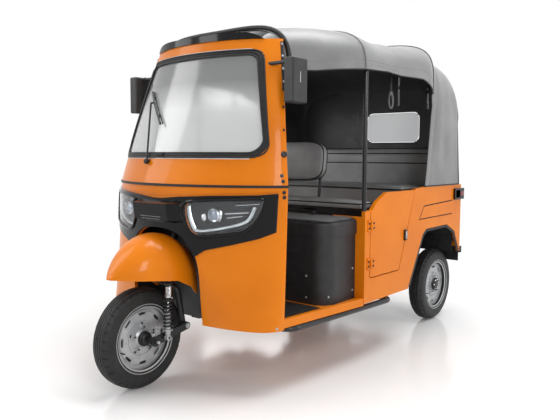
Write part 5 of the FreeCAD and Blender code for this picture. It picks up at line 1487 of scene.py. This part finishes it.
def make_cabin_details():
    """Box lines and screws, lid cover, ribs of the mat, grab strap, pedal, dial and switches."""
    box = Build()
    rows = []
    for grow, z in ((0.0, 0.7905), (0.002, 0.7935), (0.0, 0.7965), (-0.006, 0.798)):
        ring = rounded([(x + math.copysign(grow, x), y + math.copysign(grow, y + 0.2)) for x, y in LID_COVER], 0.055, 8)
        rows.append([Vector((point.x, point.y, z)) for point in ring])
    box.add(strip(rows, capped=True), 2)
    for z in (0.455, 0.535, 0.615):
        box.bar([(x, -0.3407, z) for x in np.linspace(-0.44, 0.44, 12)], 0.0022, 8, 1, 0.6)
    for side in (1, -1):
        for y, z in ((-0.085, 0.52), (-0.085, 0.4), (-0.315, 0.4)):
            box.bolt((side * 0.6, y, z), LEFT * side, 0.0042, 0.004, 3)
        for z in (0.5, 0.385):
            box.bolt((side * 0.475, -0.34, z), FORWARD, 0.0042, 0.004, 3)
    box.piece("box_trim", "black_plastic", PLASTIC, BLACK, GREY, SILVER)
    mat = Build()
    for x in np.arange(-0.57, 0.575, 0.03):
        mat.bar([(x, -0.6, 0.3565), (x, -0.5, 0.3565), (x, -0.388, 0.3565)], 0.0035, 6, flat=0.5)
    mat.piece("mat_ribs", "black_rubber", RUBBER)
    strap = Build()
    strap.block((0.6, 0.29, 1.48), (0.606, 0.312, 1.64), 0.002)
    ring = [Vector((0.603, 0.301 + 0.024 * math.sin(angle), 1.452 + 0.042 * math.cos(angle)))
            for angle in (2 * math.pi * step / 28 for step in range(28))]
    strap.bar(ring + ring[:1], 0.0065, 10, 1, 0.7)
    strap.block((0.597, 0.286, 1.486), (0.609, 0.316, 1.504), 0.003, 2, 1)
    strap.piece("grab_strap", "black_plastic", RUBBER, GREY)
    pedal = Build()
    pedal.block((-0.205, -0.64, 0.395), (-0.135, -0.622, 0.455), 0.004)
    for z in (0.405, 0.417, 0.429, 0.441):
        pedal.bar([(-0.2, -0.6215, z), (-0.14, -0.6215, z)], 0.0022, 6)
    pedal.bar(flowing([(-0.17, -0.636, 0.42), (-0.17, -0.66, 0.4), (-0.17, -0.672, 0.357)], 5), 0.006, 10, 1)
    pedal.piece("foot_pedal", "black_rubber", RUBBER, BLACK)
    dash = Build()
    dash.disc([(-0.002, 0.058), (0.01, 0.058), (0.016, 0.054), (0.017, 0.05)], DIAL_PLACE, DIAL_WAY, 40)
    dash.disc([(0.0172, 0.0495), (0.018, 0.0495)], DIAL_PLACE, DIAL_WAY, 40, 1)
    turn = DIAL_WAY.normalized()
    centre = DIAL_PLACE + turn * 0.0182

    def hand(angle):
        return LEFT * math.cos(angle) + turn.cross(LEFT) * math.sin(angle)

    for index in range(21):
        out = hand(math.radians(210 - 12 * index))
        dash.bar([centre + out * (0.036 if index % 5 else 0.032), centre + out * 0.043], 0.0008, 4, 2)
    dash.bar([centre, centre + hand(2.4) * 0.034], [0.0016, 0.0006], 6, 3)
    for x in (-0.11, 0.11):
        for shift in (0, 0.035):
            dash.disc([(0, 0.01), (0.004, 0.01), (0.006, 0.008)], (x + math.copysign(shift, x), -0.8, 0.974),
                      UP, 18)
    dash.piece("dial_and_switches", "black_plastic", PLASTIC, GLOSS, PALE_PRINT_AND_PAINTED_HIGHLIGHT, RED)


def make_engine_details():
    """Fins, cover, pulley and bolts on the engine block."""
    low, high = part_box("engine_block")
    side, y, z = high[0] - 0.001, high[1] - 0.1, (low[2] + high[2]) / 2
    engine = Build()
    for level in (low[2] + 0.075 + index * 0.02 for index in range(9)):
        engine.block((low[0] - 0.01, low[1] + 0.02, level), (high[0] + 0.01, low[1] + 0.17, level + 0.006), 0.002, 1)
    engine.disc([(0, 0.095), (0.012, 0.095), (0.02, 0.08), (0.024, 0.04)], (side, y, z), LEFT, 40)
    engine.ring([(0.024, 0.06), (0.03, 0.066), (0.034, 0.066), (0.037, 0.06), (0.041, 0.066), (0.045, 0.066),
                (0.047, 0.05), (0.024, 0.045)], (side, y, z), LEFT, 40, 1)
    for angle in (2 * math.pi * index / 6 for index in range(6)):
        engine.bolt((high[0] + 0.011, y + 0.086 * math.cos(angle), z + 0.086 * math.sin(angle)), LEFT, 0.0045, 0.005, 1)
    sump = ((low[0] + high[0]) / 2, (low[1] + high[1]) / 2, low[2])
    engine.disc([(-0.008, 0.06), (0.0, 0.064), (0.004, 0.05)], sump, DOWN, 32)
    for x in (low[0] + 0.03, high[0] - 0.03):
        for y in (low[1] + 0.03, high[1] - 0.03):
            engine.bolt((x, y, low[2]), DOWN, 0.006, 0.006, 1)
    engine.piece("engine_details", "engine_alloy", ALLOY, SILVER)


make_lamps()
make_screen_trim()
make_wiper_details()
make_mirror_glass()
make_side_fittings()
make_tail()
make_cabin_details()
make_engine_details()
